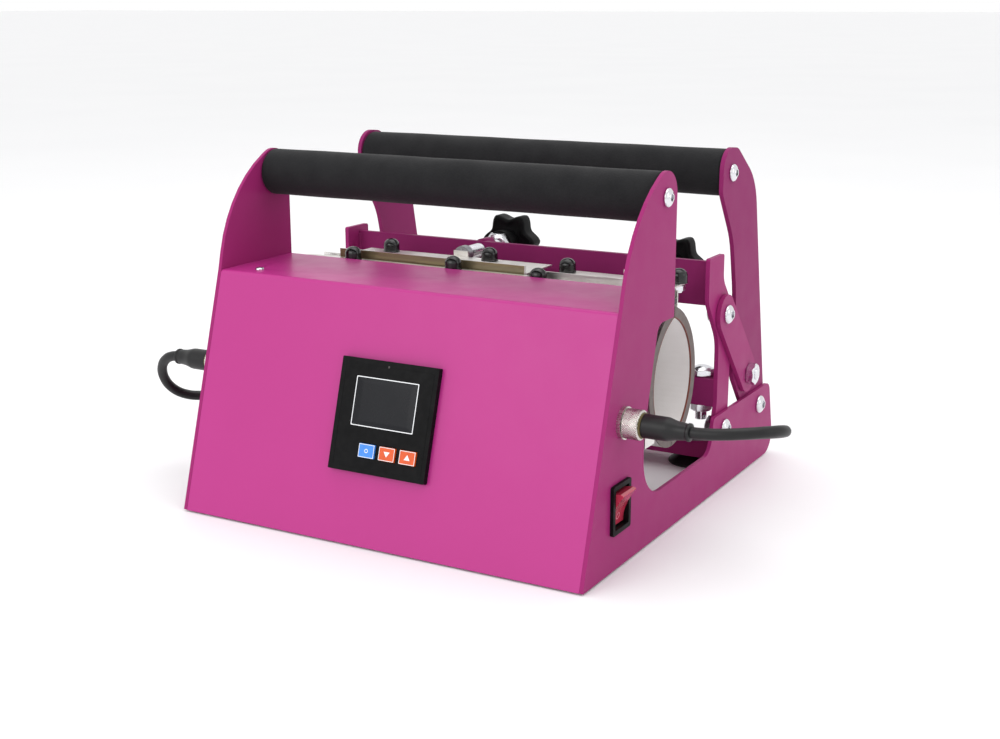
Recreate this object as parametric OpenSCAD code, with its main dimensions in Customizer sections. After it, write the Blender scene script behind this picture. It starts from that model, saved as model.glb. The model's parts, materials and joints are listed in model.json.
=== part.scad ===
// Heat press for tumblers: a folded housing with two side plates, a split oval heater,
// and an over-centre lever that pulls the rear half of the heater shut.
// X runs to the right, Y to the back, Z up. The origin is the middle of the base on the table.

/* [Base] */
// Width over the side plates
base_w = 300; // [270:1:400]
// Depth from the front bottom edge to the back of the side plates
base_depth = 324; // [300:1:400]
// Thickness of the side plates
plate_t = 2.5; // [2:0.1:4]
// Thickness of the folded housing sheet
sheet_t = 2; // [1:0.1:3]
// Height of the deck over the plates' bottom edges
deck_z = 157; // [145:1:190]
// Lean of the front panel from upright, in degrees
front_lean = 16.8; // [8:0.1:22]
// Height that the feet hold the plates off the table
foot_proud = 1; // [0.5:0.1:4]
// Radius of a foot at the table
foot_r = 20; // [12:0.5:24]
// Height of the floor sheet and of the rear crossbar over the plates' bottom edges
floor_z = 8.5; // [6:0.5:12]
// Height of the lugs that hold the pivots
lug_z = 55; // [50:1:70]

/* [Handles] */
// Radius of the foam grips
foam_r = 15.9; // [13:0.1:20]
// Radius of the tubes inside the grips
tube_r = 11; // [8:0.1:12.5]
// Height of the front handle's centre
front_grip_z = 217.2; // [205:0.1:260]
// Rear handle: distance in front of the lever's pivot
rear_grip_fwd = 65.1; // [50:0.1:80]
// Rear handle: height over the lever's pivot
rear_grip_up = 176.9; // [165:0.1:210]
// Radius of the handle bolts' heads
grip_head_r = 6; // [4:0.1:8]

/* [Linkage] */
// Thickness of the levers, the links and the frame plates
arm_t = 3; // [2:0.1:5]
// Gap between plates that turn past each other
side_gap = 0.3; // [0.2:0.05:1]
// Radius of the pivot bolts
pivot_r = 4; // [3:0.1:5]
// Running clearance of a pivot bolt in its bore
run_gap = 0.06; // [0.03:0.01:0.1]
// Distance of the lever pivot from the back of the base
pivot_in = 32.1; // [28:0.1:40]
// Height of the pivots in the base
pivot_z = 43.3; // [38:0.1:46]
// Distance between the lever pivot and the frame pivot
pivot_apart = 70.8; // [66:0.1:80]
// Height of the link joint over the frame pivot
clamp_up = 81.5; // [76:0.1:88]
// Link joint on the lever: distance in front of the lever's pivot
toggle_fwd = 25.9; // [22:0.1:28]
// Link joint on the lever: height over the lever's pivot
toggle_up = 29.3; // [28:0.1:34]
// Radius of the links' round ends
link_r = 13.5; // [11:0.1:14]

/* [Pressure frame] */
// Height of the top crossbar's lower edge
top_bar_z = 132; // [125:0.5:136]
// Height of the top crossbar
top_bar_h = 30.3; // [26:0.1:34]
// Thickness of the top crossbar
top_bar_t = 4; // [3:0.1:6]
// Side of the square middle bar
mid_bar = 19.5; // [15:0.5:20]
// Height of the middle bar's lower face
mid_bar_z = 59.5; // [56:0.5:64]
// Radius of the knob screws
screw_r = 5; // [4:0.1:5.5]
// Radius of the star knobs
knob_r = 22; // [18:0.5:26]
// Thickness of the star knobs
knob_t = 14; // [10:0.5:18]

/* [Heater] */
// Half of the heater's inside depth
bore_w = 31; // [28:0.5:33]
// Height of the inside over the heater's centre
bore_h = 42; // [38:0.5:44]
// Height of the heater's centre
heater_z = 92.5; // [90:0.5:96]
// Thickness of the silicone mats
mat_t = 5.5; // [4:0.1:7]
// Thickness of the steel shells
shell_t = 1.2; // [0.8:0.1:2]
// Width of the short section on the right
short_w = 92; // [70:1:110]
// Gap between the two sections
section_gap = 8; // [5:0.5:14]
// Distance of the heater's ends from the outsides of the side plates
end_gap = 10; // [9:0.5:16]
// Drop of the short section's flange below the long section's
short_drop = 2.5; // [1:0.1:3]
// Radius of the black caps on the flange bolts
cap_r = 6; // [5:0.1:7]
// Height of the black caps
cap_h = 9.7; // [8:0.1:12]
// Gap between the front and rear halves of the heater
split_gap = 0.8; // [0.6:0.1:2]

/* [Controls] */
// Side of the square controller's bezel
bezel_w = 72; // [66:0.5:84]
// Height of the bezel over the panel
bezel_h = 4; // [3:0.1:6]
// Controller centre, measured up the front panel
bezel_up = 82; // [70:0.5:95]
// Width of the screen
screen_w = 46.4; // [38:0.1:50]
// Height of the screen
screen_h = 31.3; // [26:0.1:34]
// Width of a push button
key_w = 11.8; // [9:0.1:12.5]
// Height of a push button
key_h = 8.8; // [8:0.1:11]
// Depth of the rocker switch's bezel along the side plate
rocker_w = 25; // [22:0.5:28]
// Height of the rocker switch's bezel
rocker_h = 31; // [28:0.5:34]
// Radius of the heater sockets' threads
socket_r = 8; // [7:0.1:9]

/* [Leads] */
// Diameter of the heater leads
lead_d = 7; // [5:0.1:8]

/* [Hidden] */
$fn = 48;

eps = 0.01;
touch = 0.1;             // gap between painted sheets that meet
slip = 0.3;              // clearance of a loose fit
half_w = base_w / 2;
inner_w = half_w - plate_t;

// layers from the outside in: plate and link, then lever and frame plate
arm_out = inner_w - side_gap;
arm_in = arm_out - arm_t;
link_in = inner_w;
link_out = link_in + arm_t;

// pivots, as [y, z]
lever_pivot = [base_depth - pivot_in, pivot_z];
frame_pivot = lever_pivot - [pivot_apart, 0];
clamp_joint = frame_pivot + [-2.5, clamp_up];
toggle_joint = lever_pivot + [-toggle_fwd, toggle_up];
rear_grip = lever_pivot + [-rear_grip_fwd, rear_grip_up];

// what lines up with the heater
heater_y = frame_pivot[0] - 71.1;
front_grip = [heater_y - 40.7, front_grip_z];
deck_end = heater_y - 25.5;
fold_y = deck_z * tan(front_lean);
bar_y = frame_pivot[0] - 15.2;          // front face of the top crossbar
mid_bar_y = frame_pivot[0] - 8;         // front face of the middle bar
cover_y = heater_y - 71;                // front face of the back cover
rear_sheet = 1.5;

// heater outline: two arcs that meet at the top, and a rounder bottom
main_r = (bore_w * bore_w + bore_h * bore_h) / (2 * bore_w);
main_in = main_r - bore_w;
low_a = 40;
low_r = main_r - main_in / cos(low_a);
low_z = -main_in * tan(low_a);
long_x = [-half_w + end_gap, half_w - end_gap - short_w - section_gap];
short_x = [half_w - end_gap - short_w, half_w - end_gap];
flange_z = deck_z - 2;
front_row = -19;                        // bolt rows from the heater's centre
rear_row = 24;
lip_y = -9;                             // upturned lip of the rear flange
lip_h = 5.5;
rear_edge = 31;
short_bolts = [short_x[0] + 2.5, short_x[1] - 7.5];
long_bolts = [long_x[0] + 42.5, long_x[1] - 55];
rear_long_bolts = [for (b = long_bolts) b + 4];
bolt_r = 2.5;
rail_z = deck_z - 10;
rail_t = 3;

// knob screws
knob_x = [long_x[0] + 102, short_x[0] + short_w / 2 + 2];
knob_z = [flange_z + 1, flange_z - 0.5 - 2 * short_drop];
tip_y = heater_y + rear_edge + 1.5;     // tip of a screw
nut_y = bar_y + 24;                     // jam nut in front of a knob
nut_t = 6;
boss_h = 12;
boss_r = 10;

// controller on the leaning panel
case_w = bezel_w - 5;
case_d = 38;
key_gap = 3.4;
key_up = bezel_up - 21.5;
key_mid = 7.2;
screen_up = bezel_up + 9;
screen_x = -0.1;

// side fittings, as [y, z]
socket_at = [heater_y - 98.7, heater_z - 2];
rocker_at = [heater_y - 102, 39];
inlet_at = [heater_y - 102, 42];
inlet_w = 28;
inlet_h = 48;
ring_r = 9.2;

// leads, as points chosen along the way from the plug to the heater, counted outwards from the
// side plate and from the heater's centre
lead_right_way = [
    [43.5, -98.7, -2], [54.4, -97.6, -1.7], [64.9, -94.5, -1], [74.6, -89.4, -0.4], [82.6, -82, -0.4],
    [87.4, -72.3, -1.6], [87.3, -61.8, -4.3], [82.7, -52.6, -7.9], [74.7, -46, -11.3], [65.1, -41.7, -14.3],
    [54.8, -38.9, -17], [44.3, -37.1, -19.3], [33.5, -36, -21.4], [22.7, -35.4, -23.2], [11.9, -35.3, -24.7],
    [1, -35.4, -25.9], [-10, -35.5, -26.5]];
lead_left_way = [
    [43.5, -98.7, -2], [52.3, -98, -3.7], [59.8, -95.8, -8.4], [65.1, -92.5, -14.9], [68.1, -88.1, -22.3],
    [68.5, -82.8, -29.6], [65.9, -76.6, -35.7], [60.9, -70, -39.3], [54.7, -63.5, -40.5], [47.7, -57.7, -40.2],
    [40.4, -52.4, -39], [32.7, -47.8, -37.4], [24.7, -43.8, -35.6], [16.5, -40.5, -33.7], [7.9, -37.8, -32.1],
    [-0.9, -36.1, -31], [-10, -35.5, -30.5]];
plug_l = 43.5;                          // side plate to the end of the strain relief
boot_at = [lead_left_way[16][1], -28.5];
boot_s = 14;

// ---- small tools ----

// the row frame stands on the feet, with the base centred
module placed() translate([0, -base_depth / 2, foot_proud]) children();
module on_side(side) {
    if (side > 0) children();
    else mirror([1, 0, 0]) children();
}
module both_sides() { children(); mirror([1, 0, 0]) children(); }
// a flat outline of [y, z] points, from x0 to x1
module sheet_x(x0, x1) translate([x0, 0, 0]) rotate([90, 0, 90]) linear_extrude(x1 - x0) children();
module rod_x(at, x0, x1, r) translate([x0, at[0], at[1]]) rotate([0, 90, 0]) cylinder(h = x1 - x0, r = r);
module rod_y(x, z, y0, y1, r) translate([x, y0, z]) rotate([-90, 0, 0]) cylinder(h = y1 - y0, r = r);
module rod_z(x, y, z0, z1, r) translate([x, y, z0]) cylinder(h = z1 - z0, r = r);
// hexagon bars by the size across their flats
module hex_x(at, x0, x1, flats)
    translate([x0, at[0], at[1]]) rotate([0, 90, 0]) cylinder(h = x1 - x0, r = flats / sqrt(3), $fn = 6);
module hex_y(x, z, y0, y1, flats)
    translate([x, y0, z]) rotate([-90, 0, 0]) cylinder(h = y1 - y0, r = flats / sqrt(3), $fn = 6);
module hex_z(x, y, z0, z1, flats)
    translate([x, y, z0]) cylinder(h = z1 - z0, r = flats / sqrt(3), $fn = 6);
// a domed screw head of radius r and height h, standing on x0 and pointing out along X
module dome_head(at, x0, r, h)
    translate([x0, at[0], at[1]]) rotate([0, 90, 0]) rotate_extrude() polygon(concat([[0, 0]],
        [for (i = [0:8]) [r * cos(i * 11.25), h * 0.3 + h * 0.7 * sin(i * 11.25)]]));
// on the leaning panel: x to the right, z up the slope, y into the housing
module on_panel() rotate([-front_lean, 0, 0]) children();

function unit(v) = v / norm(v);
// an arc of radius r about c from angle a0 to a1
function arc(c, r, a0, a1, n = 12) =
    [for (i = [0:n]) let (a = a0 + (a1 - a0) * i / n) c + r * [cos(a), sin(a)]];
// the fillet of radius q[2] at corner q, between its neighbours p and s
function fillet(p, q, s) = let (
    u = unit([p[0] - q[0], p[1] - q[1]]), w = unit([s[0] - q[0], s[1] - q[1]]),
    half = acos(max(-1, min(1, u * w))) / 2,
    c = [q[0], q[1]] + unit(u + w) * q[2] / sin(half),
    a = [q[0], q[1]] + u * q[2] / tan(half) - c,
    a0 = atan2(a[1], a[0]),
    side = u[0] * w[1] - u[1] * w[0] > 0 ? -1 : 1,
    n = max(2, ceil((180 - 2 * half) / 7)))
    arc(c, q[2], a0, a0 + side * (180 - 2 * half), n);
// an outline of [y, z, radius] corners with every corner rounded
function rounded(c) = let (n = len(c)) [for (i = [0:n - 1])
    each (c[i][2] == 0 ? [[c[i][0], c[i][1]]] : fillet(c[(i + n - 1) % n], c[i], c[(i + 1) % n]))];
function flipped(points) = [for (i = [len(points) - 1:-1:0]) points[i]];
// where the line through p at angle a meets y
function on_line(p, a, y) = p[1] + (y - p[0]) * tan(a);

// ---- base ----

ear_a = 27;                                             // slope of the ear's upper edge
ear_top = front_grip + (foam_r + 0.1) * [-sin(ear_a), cos(ear_a)];
ear_lean = 14;
ear_y = (fold_y + tan(ear_lean) * (ear_top[1] - ear_top[0] * tan(ear_a) - deck_z))
    / (1 - tan(ear_lean) * tan(ear_a));
back_lean = 13.6;
lug_start = frame_pivot[0] - 20;

function plate_outline() = rounded([
    [0, 0, 0.5], [fold_y, deck_z, 6],
    [ear_y, on_line(ear_top, ear_a, ear_y), 95],
    [front_grip[0] + foam_r + 0.1, on_line(ear_top, ear_a, front_grip[0] + foam_r + 0.1), foam_r],
    [front_grip[0] + foam_r + 0.1, deck_z - 16.5, 1],
    [heater_y - 49, deck_z - 16.5, 9], [heater_y - 67, heater_z - 18, 32],
    [heater_y - 67, 31, 27], [lug_start - 4.5, 31, 11], [lug_start, lug_z, 4],
    [base_depth + 3.8 - lug_z * tan(back_lean), lug_z, 8],
    [base_depth + 3.8, 0, 14]]);

module side_plate(side) {
    on_side(side) difference() {
        sheet_x(inner_w, half_w) polygon(plate_outline());
        for (p = [lever_pivot, frame_pivot]) rod_x(p, inner_w - 1, half_w + 1, pivot_r + touch);
        rod_x(front_grip, inner_w - 1, half_w + 1, 3.2);
        rod_x(socket_at, inner_w - 1, half_w + 1, socket_r + touch);
        if (side > 0) side_cut(rocker_at, rocker_w - 3.4, rocker_h - 3.4);
        if (side < 0) side_cut(inlet_at, inlet_w - 6, inlet_h - 18);
    }
}
module side_cut(at, w, h) translate([inner_w - 1, at[0] - w / 2, at[1] - h / 2]) cube([plate_t + 2, w, h]);
module side_plate_left() color([0.70, 0.24, 0.49]) placed() side_plate(-1);
module side_plate_right() color([0.70, 0.24, 0.49]) placed() side_plate(1);

// front panel, deck and the return under the panel, folded from one sheet
module front_housing() {
    s = sheet_t / cos(front_lean);
    lip = 16;
    color([0.78, 0.25, 0.58]) placed() difference() {
        sheet_x(-inner_w, inner_w) polygon(rounded([
            [0, 0, 0], [fold_y, deck_z, 3], [deck_end, deck_z, 0], [deck_end, deck_z - sheet_t, 0],
            [fold_y + s - sheet_t * tan(front_lean), deck_z - sheet_t, 1],
            [s + (floor_z + rear_sheet + sheet_t) * tan(front_lean), floor_z + rear_sheet + sheet_t, 0],
            [s + lip, floor_z + rear_sheet + sheet_t, 0], [s + lip, floor_z + rear_sheet, 0],
            [s + (floor_z + rear_sheet) * tan(front_lean), floor_z + rear_sheet, 0], [s, 0, 0]]));
        on_panel() translate([-case_w / 2 - slip, -5, bezel_up - case_w / 2 - slip])
            cube([case_w + 2 * slip, 20, case_w + 2 * slip]);
        rod_z(deck_screw[0], deck_screw[1], deck_z - 10, deck_z + 5, 1.6);
        for (x = screw_x) rod_z(x, screw_rows[0], floor_z, floor_z + 6, 1.6);
    }
}
deck_screw = [-half_w + 25, fold_y + 13];
screw_rows = [13, cover_y - 7];
screw_x = [-half_w + 30, 0, half_w - 30];

// the wall between the electrics and the heater, with a foot for the floor sheet
module back_cover() {
    t = rear_sheet;
    foot = floor_z + t + touch;
    color([0.55, 0.18, 0.40]) placed() difference() {
        union() {
            sheet_x(-inner_w + touch, inner_w - touch) polygon([
                [cover_y, foot], [cover_y, heater_z - 20], [cover_y + 17, deck_z - 22],
                [cover_y + 17, deck_z - sheet_t - touch], [cover_y + 17 + t, deck_z - sheet_t - touch],
                [cover_y + 17 + t, deck_z - 22.4], [cover_y + t, heater_z - 20.4], [cover_y + t, foot]]);
            translate([-inner_w + touch, cover_y - 14, foot]) cube([2 * (inner_w - touch), 14 + t, t]);
        }
        for (x = screw_x) rod_z(x, screw_rows[1], floor_z, floor_z + 6, 1.6);
    }
}

module bottom_cover() {
    y0 = sheet_t / cos(front_lean) + floor_z * tan(front_lean) + 1;
    color([0.3, 0.3, 0.31]) placed() difference() {
        translate([-inner_w + slip, y0, floor_z]) cube([2 * (inner_w - slip), cover_y - y0 + 1.5, rear_sheet]);
        for (x = screw_x, y = screw_rows) rod_z(x, y, floor_z - 5, floor_z + 6, 1.6);
        for (p = foot_places()) if (p[1] < heater_y) rod_z(p[0], p[1], floor_z - 5, floor_z + 6, 2.6);
        for (i = [-4:4]) translate([i * 9 - 1.5, 32, floor_z - 1]) cube([3, 24, 5]);
    }
}

module small_screw(x, y, z, up) translate([x, y, z]) mirror([0, 0, up ? 0 : 1]) rotate_extrude()
    polygon([[0, -7], [1.5, -7], [1.5, 0], [3, 0], [3, 0.8], [2.2, 1.7], [0, 2]]);
module cover_screws() color([0.75, 0.75, 0.77]) placed() {
    small_screw(deck_screw[0], deck_screw[1], deck_z, true);
    for (x = screw_x, y = screw_rows) small_screw(x, y, floor_z, false);
}

foot_x = half_w - 40;
foot_rows = [46, base_depth - 53];
function foot_places() = [for (x = [-foot_x, foot_x], y = foot_rows) [x, y]];
module rear_crossbar() {
    y0 = foot_rows[1] - 20;
    color([0.70, 0.24, 0.49]) placed() difference() {
        union() {
            translate([-inner_w, y0, floor_z]) cube([2 * inner_w, 38, 2]);
            translate([-inner_w, y0, floor_z]) cube([2 * inner_w, 2, 17]);
        }
        for (x = [-foot_x, foot_x]) rod_z(x, foot_rows[1], floor_z - 5, floor_z + 6, 2.6);
    }
}
module feet() color([0.07, 0.07, 0.07]) placed() for (p = foot_places())
    translate([p[0], p[1], -foot_proud]) rotate_extrude() polygon([
        [0, 2], [foot_r - 9, 1.6], [foot_r - 3, 0], [foot_r, 0], [foot_r, 1.2], [foot_r - 5, 4.4],
        [9.5, floor_z + foot_proud - 1.5], [9.5, floor_z + foot_proud], [2.5, floor_z + foot_proud],
        [2.5, floor_z + foot_proud + 4.5], [0, floor_z + foot_proud + 4.5]]);

// ---- handles: a tube under a foam sleeve, bolted through the plates ----

module grip_tube(at, reach) difference() {
    rod_x(at, -reach, reach, tube_r);
    rod_x(at, -reach - 1, reach + 1, 2.9);
}
module grip_foam(at, reach) difference() {
    rod_x(at, -reach, reach, foam_r);
    rod_x(at, -reach - 1, reach + 1, tube_r);
}
module grip_bolts(at, face) both_sides() difference() {
    union() {
        dome_head(at, face, grip_head_r, 3.6);
        rod_x(at, face - 22, face + eps, 2.85);
    }
    hex_x(at, face + 1.2, face + 5, 4);
}
module front_handle_tube() color([0.6, 0.6, 0.62]) placed() grip_tube(front_grip, inner_w);
module front_handle_foam() color([0.12, 0.12, 0.13]) placed() grip_foam(front_grip, inner_w - touch);
module front_handle_bolts() color([0.8, 0.8, 0.82]) placed() grip_bolts(front_grip, half_w);
module rear_handle_tube() color([0.6, 0.6, 0.62]) placed() grip_tube(rear_grip, arm_in);
module rear_handle_foam() color([0.12, 0.12, 0.13]) placed() grip_foam(rear_grip, arm_in - touch);
module rear_handle_bolts() color([0.8, 0.8, 0.82]) placed() grip_bolts(rear_grip, arm_out);

// ---- controls ----

function key_x(i) = (i - 1) * (key_w + key_gap) + key_mid;
module rounded_block(w, d, h, r) rotate([90, 0, 0]) translate([0, 0, -d]) linear_extrude(d)
    polygon(rounded([[-w / 2, -h / 2, r], [w / 2, -h / 2, r], [w / 2, h / 2, r], [-w / 2, h / 2, r]]));
module controller_case() color([0.06, 0.06, 0.07]) placed() on_panel() difference() {
    union() {
        translate([0, -bezel_h, bezel_up]) rounded_block(bezel_w, bezel_h, bezel_w, 0.8);
        translate([-case_w / 2, 0, bezel_up - case_w / 2]) cube([case_w, case_d, case_w]);
    }
    translate([screen_x - screen_w / 2 - touch, -bezel_h - 1, screen_up - screen_h / 2 - touch])
        cube([screen_w + 2 * touch, 2.4, screen_h + 2 * touch]);
    for (i = [0:2]) translate([key_x(i) - key_w / 2 - slip, -bezel_h - 1, key_up - key_h / 2 - slip])
        cube([key_w + 2 * slip, 4, key_h + 2 * slip]);
}
module controller_screen() color([0.03, 0.03, 0.04]) placed() on_panel()
    translate([screen_x - screen_w / 2, -bezel_h + 0.3, screen_up - screen_h / 2])
        cube([screen_w, 1.1, screen_h]);
module key(i) placed() on_panel() translate([key_x(i), -bezel_h - 1.3, key_up])
    rounded_block(key_w, 3.1, key_h, 0.8);
module button_set() color([0.25, 0.55, 0.89]) key(0);
module button_down() color([0.78, 0.32, 0.13]) key(1);
module button_up() color([0.78, 0.32, 0.13]) key(2);

rocker_pivot = half_w + 1.2;
module rocker_housing() color([0.06, 0.06, 0.06]) placed() difference() {
    union() {
        side_block(rocker_at, rocker_w, rocker_h, half_w, half_w + 2.2, 1.5);
        side_block(rocker_at, rocker_w - 3.8, rocker_h - 3.8, half_w - 24, half_w + eps, 0.5);
    }
    side_block(rocker_at, rocker_w - 6, rocker_h - 6, half_w - 9, half_w + 5, 0.3);
}
module side_block(at, w, h, x0, x1, r) sheet_x(x0, x1) polygon(rounded([
    [at[0] - w / 2, at[1] - h / 2, r], [at[0] + w / 2, at[1] - h / 2, r],
    [at[0] + w / 2, at[1] + h / 2, r], [at[0] - w / 2, at[1] + h / 2, r]]));
// the rocker's face is one hollow sweep about a pivot along Y; the top stands out at rest
module rocker() {
    w = rocker_w - 6.8;
    h = rocker_h - 7.4;
    color([0.72, 0.07, 0.09]) placed() translate([rocker_pivot - 1, rocker_at[0] + w / 2, rocker_at[1]])
        rotate([90, 0, 0]) linear_extrude(w) polygon(concat([[-6, 3 - h / 2]],
            [for (t = [0:0.125:1]) [-1.6 + 8.4 * pow(t, 1.9), 0.4 - h / 2 + (h - 2.6) * t]],
            [[4.9, h / 2 - 0.9], [-4, h / 2 - 2]]));
}

// panel sockets for the heater leads
module heater_sockets() color([0.75, 0.75, 0.76]) placed() both_sides() difference() {
    union() {
        rod_x(socket_at, half_w, half_w + 2.5, ring_r + 0.8);
        rod_x(socket_at, half_w - 14, half_w + 7, socket_r);
        hex_x(socket_at, inner_w - 3.5, inner_w - touch, 2 * socket_r + 4);
    }
    rod_x(socket_at, half_w - 1, half_w + 8, socket_r - 2);
}
module power_inlet() color([0.05, 0.05, 0.05]) placed() mirror([1, 0, 0]) {
    difference() {
        union() {
            side_block(inlet_at, inlet_w, inlet_h, half_w, half_w + 3, 4);
            side_block(inlet_at, inlet_w - 7, inlet_h - 19, half_w - 22, half_w + eps, 1);
        }
        side_block(inlet_at, inlet_w - 11, inlet_h - 24, half_w - 14, half_w + 5, 2);
        for (s = [-1, 1]) rod_x(inlet_at + [0, s * (inlet_h / 2 - 4.5)], half_w - 1, half_w + 5, 1.7);
    }
    for (s = [-1, 0, 1])
        translate([half_w - 15, inlet_at[0] - 2 + (s == 0 ? -3 : 3), inlet_at[1] + s * 7 - 1])
            cube([9, 4, 2]);
}
// relay, terminal block and fuse on one board
module power_board() color([0.1, 0.35, 0.2]) placed() translate([20, 20, floor_z + 8]) {
    cube([90, 42, 1.6]);
    translate([6, 5, 1.6]) cube([30, 20, 16]);
    translate([42, 6, 1.6]) cube([36, 14, 12]);
    translate([44, 28, 1.6]) cube([30, 8, 9]);
    for (x = [4, 86], y = [4, 38]) translate([x, y, -8 + rear_sheet]) cylinder(h = 8 - rear_sheet, r = 3);
}

// ---- heater ----

// one side of the oval, offset outwards by off, from the bottom split to the height where
// the outline is still top_y away from the middle; points are [y, z] from the heater's centre
function half_oval(off, top_y, split = split_gap / 2) = concat(
    arc([0, low_z], low_r + off, -acos(split / (low_r + off)), -low_a, 10),
    arc([-main_in, 0], main_r + off, -low_a + 4, acos((top_y + main_in) / (main_r + off)), 22));
module oval_strip(off0, off1, top0, top1)
    polygon(concat(half_oval(off0, top0), flipped(half_oval(off1, top1))));
module at_heater() translate([0, heater_y, heater_z]) children();
module front_half() { translate([0, heater_y, heater_z]) mirror([0, 1, 0]) children(); }
wall = mat_t + touch;
skin = wall + shell_t;

module front_mat(x) {
    color([0.45, 0.42, 0.42]) placed() {
        front_half() sheet_x(x[0], x[1]) oval_strip(0, mat_t, split_gap / 2, split_gap / 2);
    }
}
module rear_mat(x) color([0.45, 0.42, 0.42]) placed() at_heater() sheet_x(x[0], x[1])
    oval_strip(0, mat_t, split_gap / 2, split_gap / 2);
module front_mat_long() front_mat(long_x);
module front_mat_short() front_mat(short_x);
module rear_mat_long() rear_mat(long_x);
module rear_mat_short() rear_mat(short_x);

// height of the shell's outside where it is top_y away from the middle
function shell_z(top_y) = (main_r + skin) * sin(acos((top_y + main_in) / (main_r + skin)));
front_riser = 12;
rear_riser = 4;
front_reach = 29;

module front_shell(x, z, bolts, end) {
    side = sign(end);
    color([0.78, 0.78, 0.78]) placed() difference() {
        union() {
            front_half() sheet_x(x[0], x[1]) {
                oval_strip(wall, skin, front_riser, front_riser);
                translate([front_riser, shell_z(front_riser) - 1.2])
                    square([shell_t, z - heater_z - shell_z(front_riser) + 1.2]);
                translate([front_riser, z - heater_z - shell_t])
                    square([front_reach - front_riser, shell_t]);
            }
            // boot where the lead goes into the heater
            translate([side > 0 ? end - boot_s : end, heater_y + boot_at[0] - boot_s / 2,
                    heater_z + boot_at[1] - boot_s / 2])
                cube([boot_s, boot_s + 1, boot_s]);
        }
        for (b = bolts) rod_z(b, heater_y + front_row, z - 5, z + 5, bolt_r + touch);
        front_half() sheet_x(x[0] - 1, x[1] + 1) oval_strip(-2, wall, 8, 8);
        at_heater() sheet_x(x[0] - 1, x[1] + 1) oval_strip(-2, wall, 8, 8);
    }
}
module front_shell_long() front_shell(long_x, flange_z, long_bolts, long_x[0]);
module front_shell_short() front_shell(short_x, flange_z - short_drop, short_bolts, short_x[1]);

module rear_shell(x, brim, z, bolts, screw_x) color([0.78, 0.78, 0.78]) placed() difference() {
    union() {
        at_heater() sheet_x(brim[0], brim[1]) rear_flange(z);
        at_heater() sheet_x(x[0], x[1]) {
            oval_strip(wall, skin, rear_riser, rear_riser);
            translate([rear_riser, shell_z(rear_riser) - 1.2])
                square([shell_t, z - heater_z - shell_t - shell_z(rear_riser) + 1.3]);
        }
        // bent-up tab that the screw bears on
        translate([screw_x - 6, heater_y + rear_edge - shell_t, z - eps]) cube([12, shell_t, 4]);
    }
    for (b = bolts) rod_z(b, heater_y + rear_row, z - 5, z + 5, bolt_r + touch);
}
module rear_flange(z) {
    translate([lip_y, z - heater_z - shell_t]) square([rear_edge - lip_y, shell_t]);
    translate([lip_y, z - heater_z - shell_t]) square([shell_t, lip_h + shell_t]);
}
module rear_shell_long()
    rear_shell(long_x, [long_x[0] + 24, long_x[1] - 5], flange_z, rear_long_bolts, knob_x[0]);
module rear_shell_short()
    rear_shell(short_x, [short_x[0] - 1, short_x[1] - 4], flange_z - short_drop, short_bolts, knob_x[1]);

// flange bolts with black domed caps; below is the shank's length under the flange
module cap_bolt(x, y, z, below) translate([x, y, z]) rotate_extrude() polygon(concat(
    [[0, -below], [bolt_r, -below], [bolt_r, 0], [cap_r, 0]],
    [for (i = [0:8]) [cap_r * cos(i * 11.25), cap_h - cap_r * 0.75 + cap_r * 0.75 * sin(i * 11.25)]]));
module front_cap_bolts() color([0.08, 0.08, 0.08]) placed() {
    for (x = long_bolts) front_cap_bolt(x, flange_z);
    for (x = short_bolts) front_cap_bolt(x, flange_z - short_drop);
}
module front_cap_bolt(x, z) {
    y = heater_y + front_row;
    cap_bolt(x, y, z, z - rail_z + 1);
    difference() {
        rod_z(x, y, rail_z + rail_t, z - shell_t, 5);
        rod_z(x, y, rail_z, z, bolt_r - eps);
    }
    hex_z(x, y, rail_z - 4, rail_z, 8);
}
module rear_cap_bolt(x, z) {
    cap_bolt(x, heater_y + rear_row, z, shell_t + 4);
    hex_z(x, heater_y + rear_row, z - shell_t - 4, z - shell_t, 8);
}
module rear_cap_bolts_long() color([0.08, 0.08, 0.08]) placed()
    for (x = rear_long_bolts) rear_cap_bolt(x, flange_z);
module rear_cap_bolts_short() color([0.08, 0.08, 0.08]) placed()
    for (x = short_bolts) rear_cap_bolt(x, flange_z - short_drop);

module flange_rail() color([0.3, 0.3, 0.31]) placed() difference() {
    translate([-inner_w + touch, heater_y - 38, rail_z]) cube([2 * (inner_w - touch), 24, rail_t]);
    for (x = concat(long_bolts, short_bolts))
        rod_z(x, heater_y + front_row, rail_z - 1, rail_z + 5, bolt_r + touch);
}

// ---- pivot bolts in the base ----

module base_pivot_bolts() color([0.8, 0.8, 0.82]) placed() both_sides() for (p = [lever_pivot, frame_pivot]) {
    difference() {
        dome_head(p, half_w, 6.6, 4.2);
        hex_x(p, half_w + 1.5, half_w + 6, 5);
    }
    rod_x(p, arm_in - side_gap - 7, half_w + eps, pivot_r);
    hex_x(p, arm_in - side_gap - 6, arm_in - side_gap, 13);
}

// ---- pressure frame ----

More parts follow.
